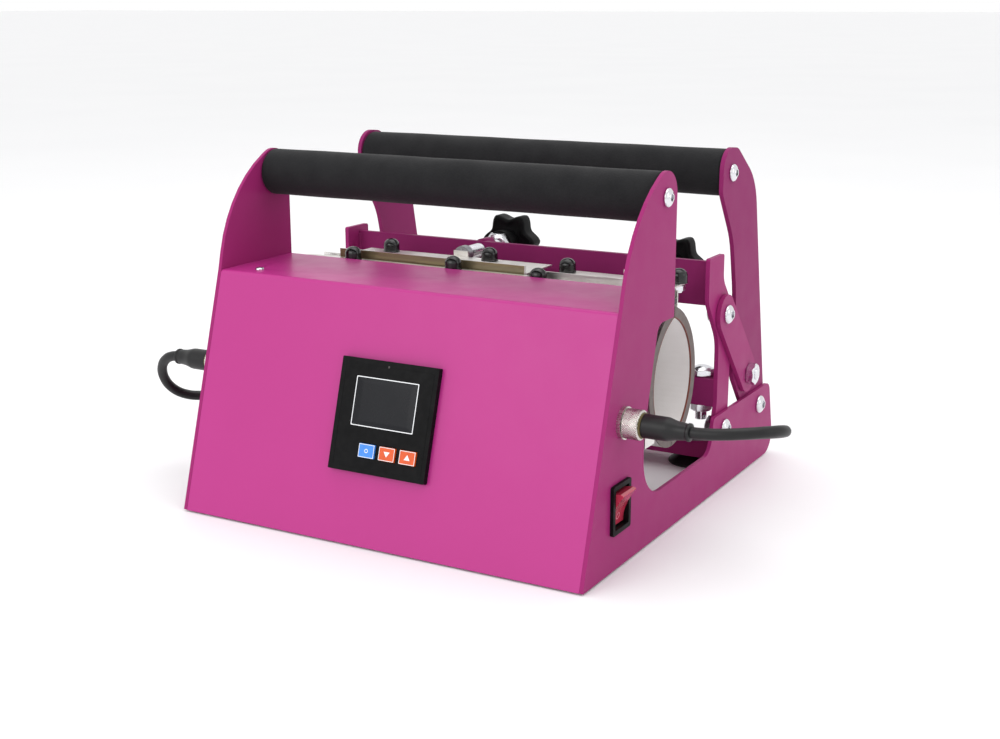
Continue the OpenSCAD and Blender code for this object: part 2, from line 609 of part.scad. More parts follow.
function frame_outline() = let (a = frame_pivot, b = clamp_joint) rounded([
    [a[0] - 29.5, bar_top() + 4.2, 1.5], [a[0] - 29.5, top_bar_z + 4.5, 10],
    [a[0] - 8.5, b[1] - 17.5, 25], [a[0] - 8, a[1] + 19, 25], [a[0] - 13, a[1] + 2, 8],
    [a[0] - 13, a[1] - 13, 12.5], [a[0] + 13, a[1] - 13, 12.5],
    [a[0] + 14.3, a[1] + 43, 20], [b[0] + 12, b[1] + 9.5, 12],
    [a[0] - 3.2, b[1] + 23.5, 14], [a[0] - 3.2, bar_top() + 4.2, 2]]);
function bar_top() = top_bar_z + top_bar_h;
module frame_plate(side) on_side(side) difference() {
    sheet_x(arm_in, arm_out) polygon(frame_outline());
    rod_x(frame_pivot, arm_in - 1, arm_out + 1, pivot_r + run_gap);
}
module frame_plate_left() color([0.70, 0.24, 0.49]) placed() frame_plate(-1);
module frame_plate_right() color([0.70, 0.24, 0.49]) placed() frame_plate(1);

module top_crossbar() color([0.65, 0.20, 0.45]) placed() difference() {
    union() {
        translate([-arm_in, bar_y, top_bar_z]) cube([2 * arm_in, top_bar_t, top_bar_h]);
        for (i = [0:1]) rod_y(knob_x[i], knob_z[i], bar_y + top_bar_t - eps, bar_y + top_bar_t + 10, 7.5);
    }
    for (i = [0:1]) rod_y(knob_x[i], knob_z[i], bar_y - 1, bar_y + top_bar_t + 12, screw_r + run_gap);
}
module middle_crossbar() color([0.65, 0.20, 0.45]) placed() difference() {
    translate([-arm_in, mid_bar_y, mid_bar_z]) cube([2 * arm_in, mid_bar, mid_bar]);
    translate([-arm_in - 1, mid_bar_y + 1.5, mid_bar_z + 1.5]) cube([2 * arm_in + 2, mid_bar - 3, mid_bar - 3]);
    for (x = [-stop_x, stop_x]) rod_z(x, mid_bar_y + mid_bar / 2, mid_bar_z - 5, mid_bar_z + mid_bar + 5, 4.1);
}
stop_x = half_w - 18;
// bolts through the middle bar, with a domed hexagon head on top and a rubber-tipped end below
module stop_bolts() color([0.8, 0.8, 0.82]) placed() for (x = [-stop_x, stop_x]) {
    y = mid_bar_y + mid_bar / 2;
    top = mid_bar_z + mid_bar;
    difference() {
        hex_z(x, y, top, top + 7.5, 16);
        translate([x, y, top + 4.5]) rotate_extrude() polygon([[7.9, 3.1], [10, 3.1], [10, -0.3]]);
    }
    rod_z(x, y, mid_bar_z - 12, top + eps, 4);
    hex_z(x, y, mid_bar_z - 6, mid_bar_z, 13);
}
// nuts on the insides of the frame plates, where the links take hold
module frame_nuts() color([0.8, 0.8, 0.82]) placed() both_sides() {
    hex_x(clamp_joint, arm_in - 6, arm_in, 13);
    rod_x(clamp_joint, arm_in - 7.5, arm_in - 6 + eps, pivot_r);
}

// ---- knobs: a screw through the top crossbar with a captive collar on the heater ----

module screw_block(i) {
    z = knob_z[i];
    color([0.7, 0.7, 0.72]) placed() difference() {
        rod_y(knob_x[i], z, heater_y + rear_edge, heater_y + rear_edge + 6, 6.2);
        rod_y(knob_x[i], z, tip_y, heater_y + rear_edge + 7, screw_r - 1 + run_gap);
    }
}
module screw_block_long() screw_block(0);
module screw_block_short() screw_block(1);

module knob_screw(i) color([0.8, 0.8, 0.82]) placed() {
    rod_y(knob_x[i], knob_z[i], tip_y + 0.5, heater_y + rear_edge + 6.5, screw_r - 1);
    rod_y(knob_x[i], knob_z[i], heater_y + rear_edge + 6.5 - eps, nut_y + nut_t, screw_r);
    hex_y(knob_x[i], knob_z[i], nut_y, nut_y + nut_t, 17);
}
module knob_screw_long() knob_screw(0);
module knob_screw_short() knob_screw(1);

// a star of six round lobes, blended by valleys
lobes = 6;
function star_outline() = [for (a = [0:4:359]) let (
    c = cos(lobes * a), r = knob_r - 5.2 * pow((1 - c) / 2, 0.8)) r * [cos(a), sin(a)]];
module star_knob(i) color([0.08, 0.08, 0.08]) placed() {
    y0 = nut_y + nut_t;
    rod_y(knob_x[i], knob_z[i], y0, y0 + boss_h + eps, boss_r);
    translate([knob_x[i], y0 + boss_h, knob_z[i]]) rotate([-90, 0, 0]) {
        linear_extrude(knob_t) polygon(star_outline());
        cylinder(h = knob_t + 1.5, r = boss_r - 2);
    }
}
module star_knob_long() star_knob(0);
module star_knob_short() star_knob(1);

// ---- levers ----

function lever_outline() = let (d = lever_pivot, g = rear_grip) rounded([
    [g[0] - 16, g[1] + 18.5, 15.5], [g[0] + 10, g[1] + 16, 14],
    [d[0] - 17.4, g[1] - 9.4, 42], [d[0] + 22, d[1] - 16.5, 15], [d[0] - 9, d[1] - 16.5, 13],
    [d[0] - 49, d[1] + 31, 9], [d[0] - 48.7, d[1] + 92, 60],
    [d[0] - 58, d[1] + 131, 50], [g[0] - 16, g[1] - 13, 9]]);
module lever(side) on_side(side) difference() {
    sheet_x(arm_in, arm_out) polygon(lever_outline());
    rod_x(lever_pivot, arm_in - 1, arm_out + 1, pivot_r + run_gap);
    rod_x(toggle_joint, arm_in - 1, arm_out + 1, pivot_r + run_gap);
    rod_x(rear_grip, arm_in - 1, arm_out + 1, 3.2);
}
module lever_left() color([0.65, 0.22, 0.47]) placed() lever(-1);
module lever_right() color([0.65, 0.22, 0.47]) placed() lever(1);

// ---- links between the levers and the pressure frame ----

function link_outline() = let (
    b = clamp_joint, c = toggle_joint, u = unit(c - b), n = [-u[1], u[0]], r = link_r)
    concat(arc(b, r, atan2(n[1], n[0]), atan2(n[1], n[0]) + 180, 20),
           arc(c, r, atan2(n[1], n[0]) + 180, atan2(n[1], n[0]) + 360, 20));
module link(side) on_side(side) difference() {
    sheet_x(link_in, link_out) polygon(link_outline());
    rod_x(toggle_joint, link_in - 1, link_out + 1, pivot_r + touch);
    rod_x(clamp_joint, link_in - 1, link_out + 1, pivot_r + touch);
}
module link_left() color([0.70, 0.24, 0.49]) placed() link(-1);
module link_right() color([0.70, 0.24, 0.49]) placed() link(1);
// the lower bolt turns in the lever; the upper one stops short of the frame plate
module link_bolts(side) on_side(side) {
    difference() {
        dome_head(clamp_joint, link_out, 6.6, 4.2);
        hex_x(clamp_joint, link_out + 1.5, link_out + 6, 5);
    }
    rod_x(clamp_joint, link_in, link_out + eps, pivot_r);
    hex_x(toggle_joint, link_out, link_out + 6, 14);
    rod_x(toggle_joint, arm_in - side_gap - 4, link_out + 6.8, pivot_r);
    hex_x(toggle_joint, arm_in - side_gap - 4, arm_in - side_gap, 13);
}
module link_bolts_left() color([0.8, 0.8, 0.82]) placed() link_bolts(-1);
module link_bolts_right() color([0.8, 0.8, 0.82]) placed() link_bolts(1);

// ---- plugs and leads ----

// coupling ring over the socket's thread, body and strain relief, turned about the socket's axis
module plug(side) on_side(side) translate([half_w, socket_at[0], socket_at[1]]) rotate([0, 90, 0])
    rotate_extrude() polygon([
        [0, 7 + touch], [socket_r + touch, 7 + touch], [socket_r + touch, 2.5 + touch], [ring_r, 2.5 + touch],
        [ring_r, 12.6], [7.9, 13.2], [7.9, 14], [7.3, 14.6], [7.2, 29.5], [5.6, 34.5], [5, plug_l - 2.4],
        [5.5, plug_l - 2], [5.5, plug_l - 0.5], [5, plug_l], [0, plug_l]]);
module plug_left() color([0.1, 0.1, 0.1]) placed() plug(-1);
module plug_right() color([0.1, 0.1, 0.1]) placed() plug(1);

// a tube swept along the points of a way, with rings square to it and both ends square to X
function ring(way, i, r, n) = let (
    last = len(way) - 1,
    t = i % last == 0 ? [i == 0 ? 1 : -1, 0, 0] : unit(way[i + 1] - way[i - 1]),
    u = unit(cross([0, 0, 1], t)), v = cross(t, u))
    [for (k = [0:n - 1]) way[i] + r * (cos(k * 360 / n) * u + sin(k * 360 / n) * v)];
module tube(way, r, n = 10) {
    last = len(way) - 1;
    polyhedron(
        points = [for (i = [0:last]) each ring(way, i, r, n)],
        faces = concat([[for (k = [0:n - 1]) k]], [[for (k = [n - 1:-1:0]) last * n + k]],
            [for (i = [0:last - 1], k = [0:n - 1]) [i * n + k, (i + 1) * n + k, (i + 1) * n + (k + 1) % n]],
            [for (i = [0:last - 1], k = [0:n - 1])
                [i * n + k, (i + 1) * n + (k + 1) % n, i * n + (k + 1) % n]]));
}
module lead(side, way) on_side(side) translate([half_w, heater_y, heater_z]) tube(way, lead_d / 2);
module lead_left() color([0.1, 0.1, 0.1]) placed() lead(-1, lead_left_way);
module lead_right() color([0.1, 0.1, 0.1]) placed() lead(1, lead_right_way);

side_plate_left();
side_plate_right();
front_housing();
back_cover();
bottom_cover();
cover_screws();
rear_crossbar();
feet();
front_handle_tube();
front_handle_foam();
front_handle_bolts();
controller_case();
controller_screen();
rocker_housing();
heater_sockets();
power_inlet();
power_board();
flange_rail();
front_shell_long();
front_shell_short();
front_mat_long();
front_mat_short();
front_cap_bolts();
base_pivot_bolts();
button_set();
button_down();
button_up();
rocker();
frame_plate_left();
frame_plate_right();
top_crossbar();
middle_crossbar();
stop_bolts();
frame_nuts();
rear_shell_long();
rear_shell_short();
rear_mat_long();
rear_mat_short();
rear_cap_bolts_long();
rear_cap_bolts_short();
screw_block_long();
screw_block_short();
knob_screw_long();
knob_screw_short();
star_knob_long();
star_knob_short();
lever_left();
lever_right();
rear_handle_tube();
rear_handle_foam();
rear_handle_bolts();
link_left();
link_right();
link_bolts_left();
link_bolts_right();
plug_left();
plug_right();
lead_left();
lead_right();
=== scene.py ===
import json
import math

import bmesh
import bpy
import numpy as np
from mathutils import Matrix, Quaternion, Vector


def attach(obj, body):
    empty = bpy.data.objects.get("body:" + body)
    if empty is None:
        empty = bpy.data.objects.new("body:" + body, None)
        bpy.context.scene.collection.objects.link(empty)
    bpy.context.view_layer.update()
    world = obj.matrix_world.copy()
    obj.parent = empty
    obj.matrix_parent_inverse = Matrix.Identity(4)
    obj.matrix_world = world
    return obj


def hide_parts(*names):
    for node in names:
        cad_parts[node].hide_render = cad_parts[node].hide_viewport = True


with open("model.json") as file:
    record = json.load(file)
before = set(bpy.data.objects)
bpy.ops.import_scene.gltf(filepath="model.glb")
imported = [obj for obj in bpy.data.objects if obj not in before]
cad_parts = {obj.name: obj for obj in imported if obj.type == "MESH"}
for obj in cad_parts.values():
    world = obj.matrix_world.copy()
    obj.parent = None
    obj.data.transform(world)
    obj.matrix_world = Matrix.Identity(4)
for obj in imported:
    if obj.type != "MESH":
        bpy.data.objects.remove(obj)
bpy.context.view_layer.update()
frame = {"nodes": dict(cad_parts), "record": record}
nodes = frame["nodes"]
scene = bpy.context.scene

# ---- measures of the press, in millimetres from the base's front edge, repeated from the part ----

HALF_WIDTH = 150.0
INSIDE_WIDTH = 147.5
ARM_OUT, ARM_IN = 147.2, 144.2
LINK_OUT = 150.5
BASE_DEPTH = 324.0
FOOT_PROUD = 1.0
DECK = 157.0
LEAN = math.radians(16.8)
LEVER_PIVOT = (291.9, 43.3)
FRAME_PIVOT = (221.1, 43.3)
CLAMP_JOINT = (218.6, 124.8)
TOGGLE_JOINT = (266.0, 72.6)
REAR_GRIP = (226.8, 220.2)
FRONT_GRIP = (109.3, 217.2)
HEATER = (150.0, 92.5)
FLANGE, SHORT_DROP = 155.0, 2.5
BEZEL_SLOPE = 82.0
BAR_FRONT = FRAME_PIVOT[0] - 15.2
MM = 0.001


def shop(x, y, z):
    """Millimetres from the base's front bottom edge to the row frame in metres."""
    return np.stack(np.broadcast_arrays(x, np.subtract(y, BASE_DEPTH / 2), np.add(z, FOOT_PROUD)), -1) * MM


def on_panel(x, up, out):
    """A point on the leaning panel: x across, up the slope, out from the sheet towards the front."""
    out = np.asarray(out, float)
    up = np.asarray(up, float)
    return shop(x, up * math.sin(LEAN) - out * math.cos(LEAN), up * math.cos(LEAN) + out * math.sin(LEAN))


# ---- camera and leads come first ----

def set_camera(place=(0.49383, -0.86784, 0.33396), target=(0.03899, -0.062, 0.09947), roll=-0.12):
    data = bpy.data.cameras.new("camera")
    data.lens, data.sensor_width = 52.46, 36.0
    data.clip_start, data.clip_end = 0.01, 100
    camera = bpy.data.objects.new("camera", data)
    scene.collection.objects.link(camera)
    camera.location = place
    look = (Vector(target) - Vector(place)).to_track_quat("-Z", "Y")
    camera.rotation_mode = "QUATERNION"
    camera.rotation_quaternion = look @ Quaternion((0, 0, 1), math.radians(roll))
    scene.camera = camera


set_camera()

# the same points as in the part: outwards from the side plate, then from the heater's centre
LEAD_RIGHT = [
    (43.5, -98.7, -2), (54.4, -97.6, -1.7), (64.9, -94.5, -1), (74.6, -89.4, -0.4), (82.6, -82, -0.4),
    (87.4, -72.3, -1.6), (87.3, -61.8, -4.3), (82.7, -52.6, -7.9), (74.7, -46, -11.3), (65.1, -41.7, -14.3),
    (54.8, -38.9, -17), (44.3, -37.1, -19.3), (33.5, -36, -21.4), (22.7, -35.4, -23.2), (11.9, -35.3, -24.7),
    (1, -35.4, -25.9), (-10, -35.5, -26.5)]
LEAD_LEFT = [
    (43.5, -98.7, -2), (52.3, -98, -3.7), (59.8, -95.8, -8.4), (65.1, -92.5, -14.9), (68.1, -88.1, -22.3),
    (68.5, -82.8, -29.6), (65.9, -76.6, -35.7), (60.9, -70, -39.3), (54.7, -63.5, -40.5),
    (47.7, -57.7, -40.2), (40.4, -52.4, -39), (32.7, -47.8, -37.4), (24.7, -43.8, -35.6),
    (16.5, -40.5, -33.7), (7.9, -37.8, -32.1), (-0.9, -36.1, -31), (-10, -35.5, -30.5)]
LEAD_THICK = 7.0


def lead_line(side, way):
    """The lead's centreline in the row frame."""
    out, back, up = np.array(way, float).T
    return shop(side * (HALF_WIDTH + out), HEATER[0] + back, HEATER[1] + up)


def make_lead(name, side, way):
    """A round sheath swept along one smooth spline through the way's points."""
    line = lead_line(side, way)
    data = bpy.data.curves.new(name, "CURVE")
    data.dimensions = "3D"
    data.bevel_depth = LEAD_THICK / 2 * MM
    data.bevel_resolution = 5
    data.resolution_u = 6
    data.use_fill_caps = True
    spline = data.splines.new("BEZIER")
    spline.bezier_points.add(len(line) - 1)
    tangent = np.gradient(line, axis=0)
    tangent[0] = (side * np.linalg.norm(tangent[0]), 0, 0)
    tangent[-1] = (-side * np.linalg.norm(tangent[-1]), 0, 0)
    for point, at, run in zip(spline.bezier_points, line, tangent):
        point.co = at
        point.handle_left_type = point.handle_right_type = "FREE"
        point.handle_left, point.handle_right = at - run / 3, at + run / 3
    lead = bpy.data.objects.new(name, data)
    scene.collection.objects.link(lead)
    length = float(np.linalg.norm(np.diff(line, axis=0), axis=1).sum())
    return lead, line, length


leads = {name: make_lead("sheath_" + name, side, way)
         for name, side, way in (("right", 1, LEAD_RIGHT), ("left", -1, LEAD_LEFT))}


# ---- finishes ----

def tone(red, green, blue):
    """A display colour of 0 to 255 per channel as linear light."""
    c = np.array([red, green, blue], float) / 255
    linear = np.where(c <= 0.04045, c / 12.92, ((c + 0.055) / 1.055) ** 2.4)
    return (*map(float, linear), 1.0)


class Finish:
    """One procedural finish: a Principled shader with patterns on Object coordinates."""

    def __init__(self, name, colour, rough, metal=0.0, **sockets):
        self.material = bpy.data.materials.new(name)
        self.material.use_nodes = True
        self.tree = self.material.node_tree
        self.shader = self.tree.nodes["Principled BSDF"]
        self.shader.inputs["Base Color"].default_value = colour
        self.shader.inputs["Roughness"].default_value = rough
        self.shader.inputs["Metallic"].default_value = metal
        for key, value in sockets.items():
            self.shader.inputs[key.replace("_", " ")].default_value = value
        self.coordinates = self.tree.nodes.new("ShaderNodeTexCoord").outputs["Object"]
        self.colour = colour

    def node(self, kind, sockets=(), **settings):
        made = self.tree.nodes.new(kind)
        for key, value in settings.items():
            setattr(made, key, value)
        for key, value in dict(sockets).items():
            if isinstance(value, bpy.types.NodeSocket):
                self.tree.links.new(value, made.inputs[key])
            else:
                made.inputs[key].default_value = value
        return made

    def stretched(self, stretch):
        return self.node("ShaderNodeMapping", {"Vector": self.coordinates, "Scale": stretch}).outputs[0]

    def noise(self, scale, detail=3.0, stretch=None):
        place = self.stretched(stretch) if stretch else self.coordinates
        return self.node("ShaderNodeTexNoise", {"Vector": place, "Scale": scale, "Detail": detail}).outputs[0]

    def cells(self, scale):
        made = self.node("ShaderNodeTexVoronoi", {"Vector": self.coordinates, "Scale": scale})
        return made.outputs["Distance"]

    def ranged(self, value, low, high, to_low, to_high):
        return self.node("ShaderNodeMapRange", {"Value": value, "From Min": low, "From Max": high,
                                                "To Min": to_low, "To Max": to_high}).outputs[0]

    def mix(self, share, a, b):
        made = self.node("ShaderNodeMix", data_type="RGBA")
        for key, value in ((0, share), (6, a), (7, b)):
            if isinstance(value, bpy.types.NodeSocket):
                self.tree.links.new(value, made.inputs[key])
            else:
                made.inputs[key].default_value = value
        return made.outputs[2]

    def tint(self, share, second):
        """The base colour goes towards the second where share is 1."""
        feed = self.shader.inputs["Base Color"]
        first = feed.links[0].from_socket if feed.links else self.colour
        self.tree.links.new(self.mix(share, first, second), feed)
        return self

    def polish(self, value, low, high):
        self.tree.links.new(self.ranged(value, 0.3, 0.7, low, high), self.shader.inputs["Roughness"])
        return self

    def dent(self, height, deep, strength=1.0):
        """A bump of that depth in metres, on top of the bumps before it."""
        feed = self.shader.inputs["Normal"]
        sockets = {"Height": height, "Distance": deep, "Strength": strength}
        if feed.links:
            sockets["Normal"] = feed.links[0].from_socket
        self.tree.links.new(self.node("ShaderNodeBump", sockets).outputs[0], feed)
        return self


def powder_coat(name, colour, deep, coat=0.12, gloss=0.32):
    """Smooth powder coat: a trace of orange peel, a very faint cloudiness and a thin clear top."""
    f = Finish(name, colour, 0.4, Coat_Weight=coat, Coat_Roughness=0.22, Specular_IOR_Level=gloss)
    f.tint(f.ranged(f.noise(14, 2), 0.35, 0.7, 0.0, 0.2), deep)
    f.polish(f.noise(60, 2), 0.36, 0.44)
    return f.dent(f.noise(260, 1), 0.00001, 0.2)


def moulded(name, colour, rough, pebble, deep, **sockets):
    """Moulded plastic: a fine pebble grain with slightly uneven gloss."""
    f = Finish(name, colour, rough, **sockets)
    f.polish(f.noise(90, 3), rough * 0.85, min(1.0, rough * 1.15))
    light = tuple(min(1.0, c * 1.5 + 0.004) for c in colour[:3]) + (1.0,)
    f.tint(f.ranged(f.noise(pebble / 6, 3), 0.4, 0.75, 0.0, 0.5), light)
    return f.dent(f.cells(pebble), deep, 0.5)


def bright_metal(name, colour, rough, stretch, deep=0.00003, dull=None):
    """Metal with fine lines along one way and small dull patches."""
    f = Finish(name, colour, rough, metal=1.0)
    lines = f.noise(1.0, 4, stretch)
    f.polish(lines, rough * 0.7, rough * 1.5)
    dull = dull or tuple(c * 0.72 for c in colour[:3]) + (1.0,)
    f.tint(f.ranged(f.noise(55, 4), 0.5, 0.75, 0.0, 0.5), dull)
    return f.dent(lines, deep, 0.5)


def make_finishes():
    # one pink powder coat in three copies: the panel's as the front light shows it, and darker copies for the
    # side plates and the levers, which are painted shade
    pink, deep_pink = tone(178, 44, 128), tone(168, 40, 120)
    shaded_side_pink, shaded_side_deep = tone(152, 42, 106), tone(145, 38, 100)
    made = {
        "pink_front": powder_coat("panel_powder", pink, deep_pink),
        "pink_paint": powder_coat("plate_powder_painted_shade", shaded_side_pink, shaded_side_deep, 0.01, 0.08),
        # the levers' darker pink is painted shade
        "pink_shade": powder_coat("lever_powder_painted_shade", tone(138, 42, 98), tone(131, 38, 92), 0.0, 0.05),
        "dark_sheet": moulded("black_paint", tone(40, 40, 42), 0.5, 700, 0.00005),
        "black_plastic": moulded("black_moulding", tone(11, 11, 12), 0.5, 1500, 0.00003,
                                 Specular_IOR_Level=0.1),
        "cap_black": moulded("cap_moulding", tone(12, 12, 13), 0.2, 1500, 0.00001, Specular_IOR_Level=0.5),
        "plug_black": moulded("plug_moulding", tone(20, 20, 21), 0.42, 1200, 0.00002,
                              Specular_IOR_Level=0.35),
        "lead_rubber": moulded("sheath_rubber", tone(18, 18, 19), 0.42, 900, 0.00002,
                               Specular_IOR_Level=0.35),
        "foot_rubber": moulded("foot_rubber", tone(20, 20, 20), 0.62, 900, 0.00006),
        "key_blue": moulded("blue_key", tone(58, 132, 222), 0.36, 1500, 0.00001, Coat_Weight=0.1),
        "key_orange": moulded("orange_key", tone(206, 78, 14), 0.36, 1500, 0.00001, Coat_Weight=0.1),
        "board": moulded("circuit_board", tone(34, 92, 58), 0.45, 500, 0.00005),
        "bright_tube": bright_metal("drawn_tube", tone(205, 205, 208), 0.25, (8, 900, 900)),
        "chrome": bright_metal("bright_zinc", tone(222, 222, 226), 0.16, (300, 300, 300), 0.00002),
        "nickel": bright_metal("nickel", tone(205, 202, 196), 0.24, (250, 900, 900), 0.00002),
        "shell_steel": bright_metal("bare_sheet", tone(228, 226, 222), 0.34, (14, 700, 700), 0.00004,
                                    tone(190, 186, 180)),
    }
    foam = Finish("grip_foam", tone(24, 24, 26), 0.78, Sheen_Weight=0.05, Sheen_Roughness=0.5,
                  Specular_IOR_Level=0.2)
    pores = foam.cells(950)
    # the pore hollows are tinted darker: painted shade in the pores
    foam.tint(foam.ranged(pores, 0.1, 0.6, 0.5, 0.0), tone(14, 14, 15))
    foam.polish(foam.noise(60, 3), 0.68, 0.86)
    foam.dent(pores, 0.00016, 0.6).dent(foam.noise(45, 3), 0.0006, 0.25)
    made["grip_foam"] = foam
    window = Finish("smoked_window", tone(20, 21, 25), 0.28, Specular_IOR_Level=0.2)
    window.polish(window.noise(120, 2), 0.25, 0.32)
    window.tint(window.ranged(window.noise(30, 2), 0.4, 0.7, 0.0, 0.5), tone(26, 28, 33))
    made["screen"] = window
    # silicone: light cloth-like face inside, grey-brown cut ends
    mat = Finish("heater_silicone", tone(244, 241, 240), 0.42)
    threads = mat.node("ShaderNodeTexWave", {"Vector": mat.coordinates, "Scale": 260.0, "Distortion": 0.6,
                                             "Detail": 1.0}, bands_direction="X").outputs[1]
    across = mat.node("ShaderNodeTexWave", {"Vector": mat.coordinates, "Scale": 260.0, "Distortion": 0.6,
                                            "Detail": 1.0}, bands_direction="DIAGONAL").outputs[1]
    mat.tint(mat.ranged(mat.noise(35, 4), 0.35, 0.7, 0.0, 0.6), tone(230, 225, 223))
    normal = mat.node("ShaderNodeNewGeometry").outputs["Normal"]
    facing = mat.node("ShaderNodeSeparateXYZ", {"Vector": normal})
    ends = mat.node("ShaderNodeMath", {0: facing.outputs[0]}, operation="ABSOLUTE").outputs[0]
    mat.tint(mat.ranged(ends, 0.6, 0.8, 0.0, 1.0), tone(112, 102, 100))
    mat.dent(threads, 0.00004, 0.4).dent(across, 0.00004, 0.4)
    made["silicone"] = mat
    ring = Finish("heater_end", tone(104, 94, 92), 0.6, Specular_IOR_Level=0.25)
    ring.tint(ring.ranged(ring.noise(220, 3), 0.35, 0.7, 0.0, 0.6), tone(122, 112, 109))
    made["heater_end"] = ring.dent(ring.noise(500, 2), 0.00006, 0.4)
    zinc = bright_metal("dull_zinc", tone(150, 150, 154), 0.34, (300, 300, 300), 0.00002)
    made["dull_zinc"] = zinc
    # the rocker's own red, lightened towards pink as a painted reflection of the pale surround
    rocker = Finish("red_rocker_painted_reflection", tone(190, 52, 78), 0.2, Coat_Weight=0.5)
    rocker.polish(rocker.noise(90, 2), 0.17, 0.24)
    made["rocker_red"] = rocker.tint(rocker.noise(40, 2), tone(178, 46, 72))
    marks = Finish("white_print", tone(236, 238, 240), 0.45)
    marks.polish(marks.noise(200, 2), 0.38, 0.52)
    marks.tint(marks.ranged(marks.noise(260, 3), 0.5, 0.8, 0.0, 0.4), tone(196, 199, 203))
    made["print"] = marks
    faint = Finish("faint_print", tone(206, 120, 140), 0.4)
    made["faint_print"] = faint.tint(faint.noise(260, 3), tone(190, 96, 118))
    lamp = Finish("dark_lamp", tone(60, 52, 52), 0.3)
    lamp.polish(lamp.noise(300, 2), 0.25, 0.35)
    made["lamp"] = lamp.tint(lamp.noise(300, 2), tone(44, 38, 38))
    tape = Finish("red_brown_edge", tone(126, 62, 48), 0.6)
    tape.tint(tape.ranged(tape.noise(120, 3), 0.35, 0.7, 0.0, 1.0), tone(92, 50, 42))
    tape.dent(tape.noise(600, 2), 0.00008, 0.5)
    made["edge_tape"] = tape
    heat = Finish("heat_tinted_steel", tone(128, 122, 96), 0.4, metal=0.6)
    along = heat.node("ShaderNodeSeparateXYZ", {"Vector": heat.coordinates}).outputs[0]
    heat.tint(heat.ranged(along, -0.11, 0.05, 1.0, 0.0), tone(122, 100, 78))
    heat.tint(heat.ranged(heat.noise(1.0, 4, (20, 300, 700)), 0.4, 0.7, 0.0, 0.6), tone(150, 138, 96))
    heat.polish(heat.noise(140, 3), 0.28, 0.46)
    made["heat_tint"] = heat
    brass = bright_metal("thread_brass", tone(128, 118, 86), 0.4, (900, 300, 300), 0.00003)
    made["brass"] = brass
    return {key: f.material for key, f in made.items()}


finishes = make_finishes()
slot_of = {s["node"]: s["material_slot"] for s in frame["record"]["subparts"]}


# ---- surfaces on grids ----

def weave(n, m, close_n=False, close_m=True):
    """Four-sided faces over an n by m grid of points, joined round where a way is closed."""
    i, k = np.meshgrid(np.arange(n if close_n else n - 1), np.arange(m if close_m else m - 1), indexing="ij")
    j, q = (i + 1) % n, (k + 1) % m
    return np.stack([i * m + k, j * m + k, j * m + q, i * m + q], -1).reshape(-1, 4)


def skin(points, close_n=False, close_m=True):
    """The points and faces of one grid."""
    n, m = points.shape[:2]
    return points.reshape(-1, 3), weave(n, m, close_n, close_m)


def piece(name, parts, finish, body, replaces=(), crease=35.0):
    """One object from several grids. Poles are merged, faces turned outwards, and edges sharper than the
    crease kept."""
    places, faces, count = [], [], 0
    for spots, quads in parts:
        places.append(spots)
        faces.append(quads + count)
        count += len(spots)
    mesh = bpy.data.meshes.new(name)
    mesh.from_pydata(np.concatenate(places).tolist(), [], np.concatenate(faces).tolist())
    work = bmesh.new()
    work.from_mesh(mesh)
    bmesh.ops.remove_doubles(work, verts=work.verts, dist=1e-6)
    bmesh.ops.dissolve_degenerate(work, edges=work.edges, dist=1e-7)
    bmesh.ops.recalc_face_normals(work, faces=work.faces)
    work.to_mesh(mesh)
    work.free()
    mesh.shade_smooth()
    mesh.set_sharp_from_angle(angle=math.radians(crease))
    mesh.materials.append(finishes[finish])
    made = bpy.data.objects.new(name, mesh)
    scene.collection.objects.link(made)
    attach(made, body)
    if replaces:
        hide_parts(*replaces)
    return made


AXES = {"x": ((1, 0, 0), (0, 1, 0), (0, 0, 1)), "y": ((0, 1, 0), (0, 0, 1), (1, 0, 0)),
        "z": ((0, 0, 1), (1, 0, 0), (0, 1, 0))}


def turned(start, axis, profile, sides=48, flip=1.0, flats=0.0, flats_from=0, shape=None):
    """A profile of (along, radius) in millimetres turned about an axis through start, which is in metres.
    From row flats_from on, the radius is cut to a hexagon of that size across its flats.
    shape(along, radius, angle) may change the radius."""
    way, u, v = (np.array(a, float) for a in AXES[axis])
    along, radius = np.array(profile, float).T
    angle = np.arange(sides) * 2 * np.pi / sides
    spread = np.repeat(radius[:, None], sides, 1)
    if shape:
        spread = shape(along[:, None], spread, angle[None, :])
    if flats:
        hexagon = flats / 2 / np.cos((angle + np.pi / 6) % (np.pi / 3) - np.pi / 6)
        spread[flats_from:] = np.minimum(spread[flats_from:], hexagon)
    rim = spread[..., None] * (np.cos(angle)[:, None] * u + np.sin(angle)[:, None] * v)
    return skin(np.asarray(start, float) + MM * (flip * along[:, None, None] * way + rim))


def eased(corners, steps=4):
    """A profile whose (along, radius, ease) corners are rounded by arcs that touch both sides."""
    out = []
    for i, (a, r, ease) in enumerate(corners):
        here = np.array([a, r], float)
        if ease == 0 or i in (0, len(corners) - 1):
            out.append(here)
            continue
        back = np.array(corners[i - 1][:2], float) - here
        on = np.array(corners[i + 1][:2], float) - here
        reach = min(ease, 0.49 * np.linalg.norm(back), 0.49 * np.linalg.norm(on))
        p, q = here + back / np.linalg.norm(back) * reach, here + on / np.linalg.norm(on) * reach
        t = np.linspace(0, 1, steps + 1)[:, None]
        out.extend((1 - t) ** 2 * p + 2 * t * (1 - t) * here + t * t * q)
    return np.array(out)


def hex_nut(start, axis, flats, thick, flip=1.0, dome=0.0):
    """A hexagon whose corners are cut by a cone at both ends; dome lifts the middle of the outer face."""
    round_r, corner = flats * 0.47, flats / math.sqrt(3)
    slope = np.linspace(0, 1, 6)
    cut = (corner - round_r) * 0.55
    low = [(cut * t, round_r + (corner - round_r) * 1.02 * t) for t in slope]
    high = [(thick - a, r) for a, r in reversed(low)]
    top = [(thick + dome * (1 - (t * t)), round_r * t) for t in np.linspace(1, 0, 6)[1:]]
    return turned(start, axis, [(0, 0)] + low + high + top, 72, flip, flats)


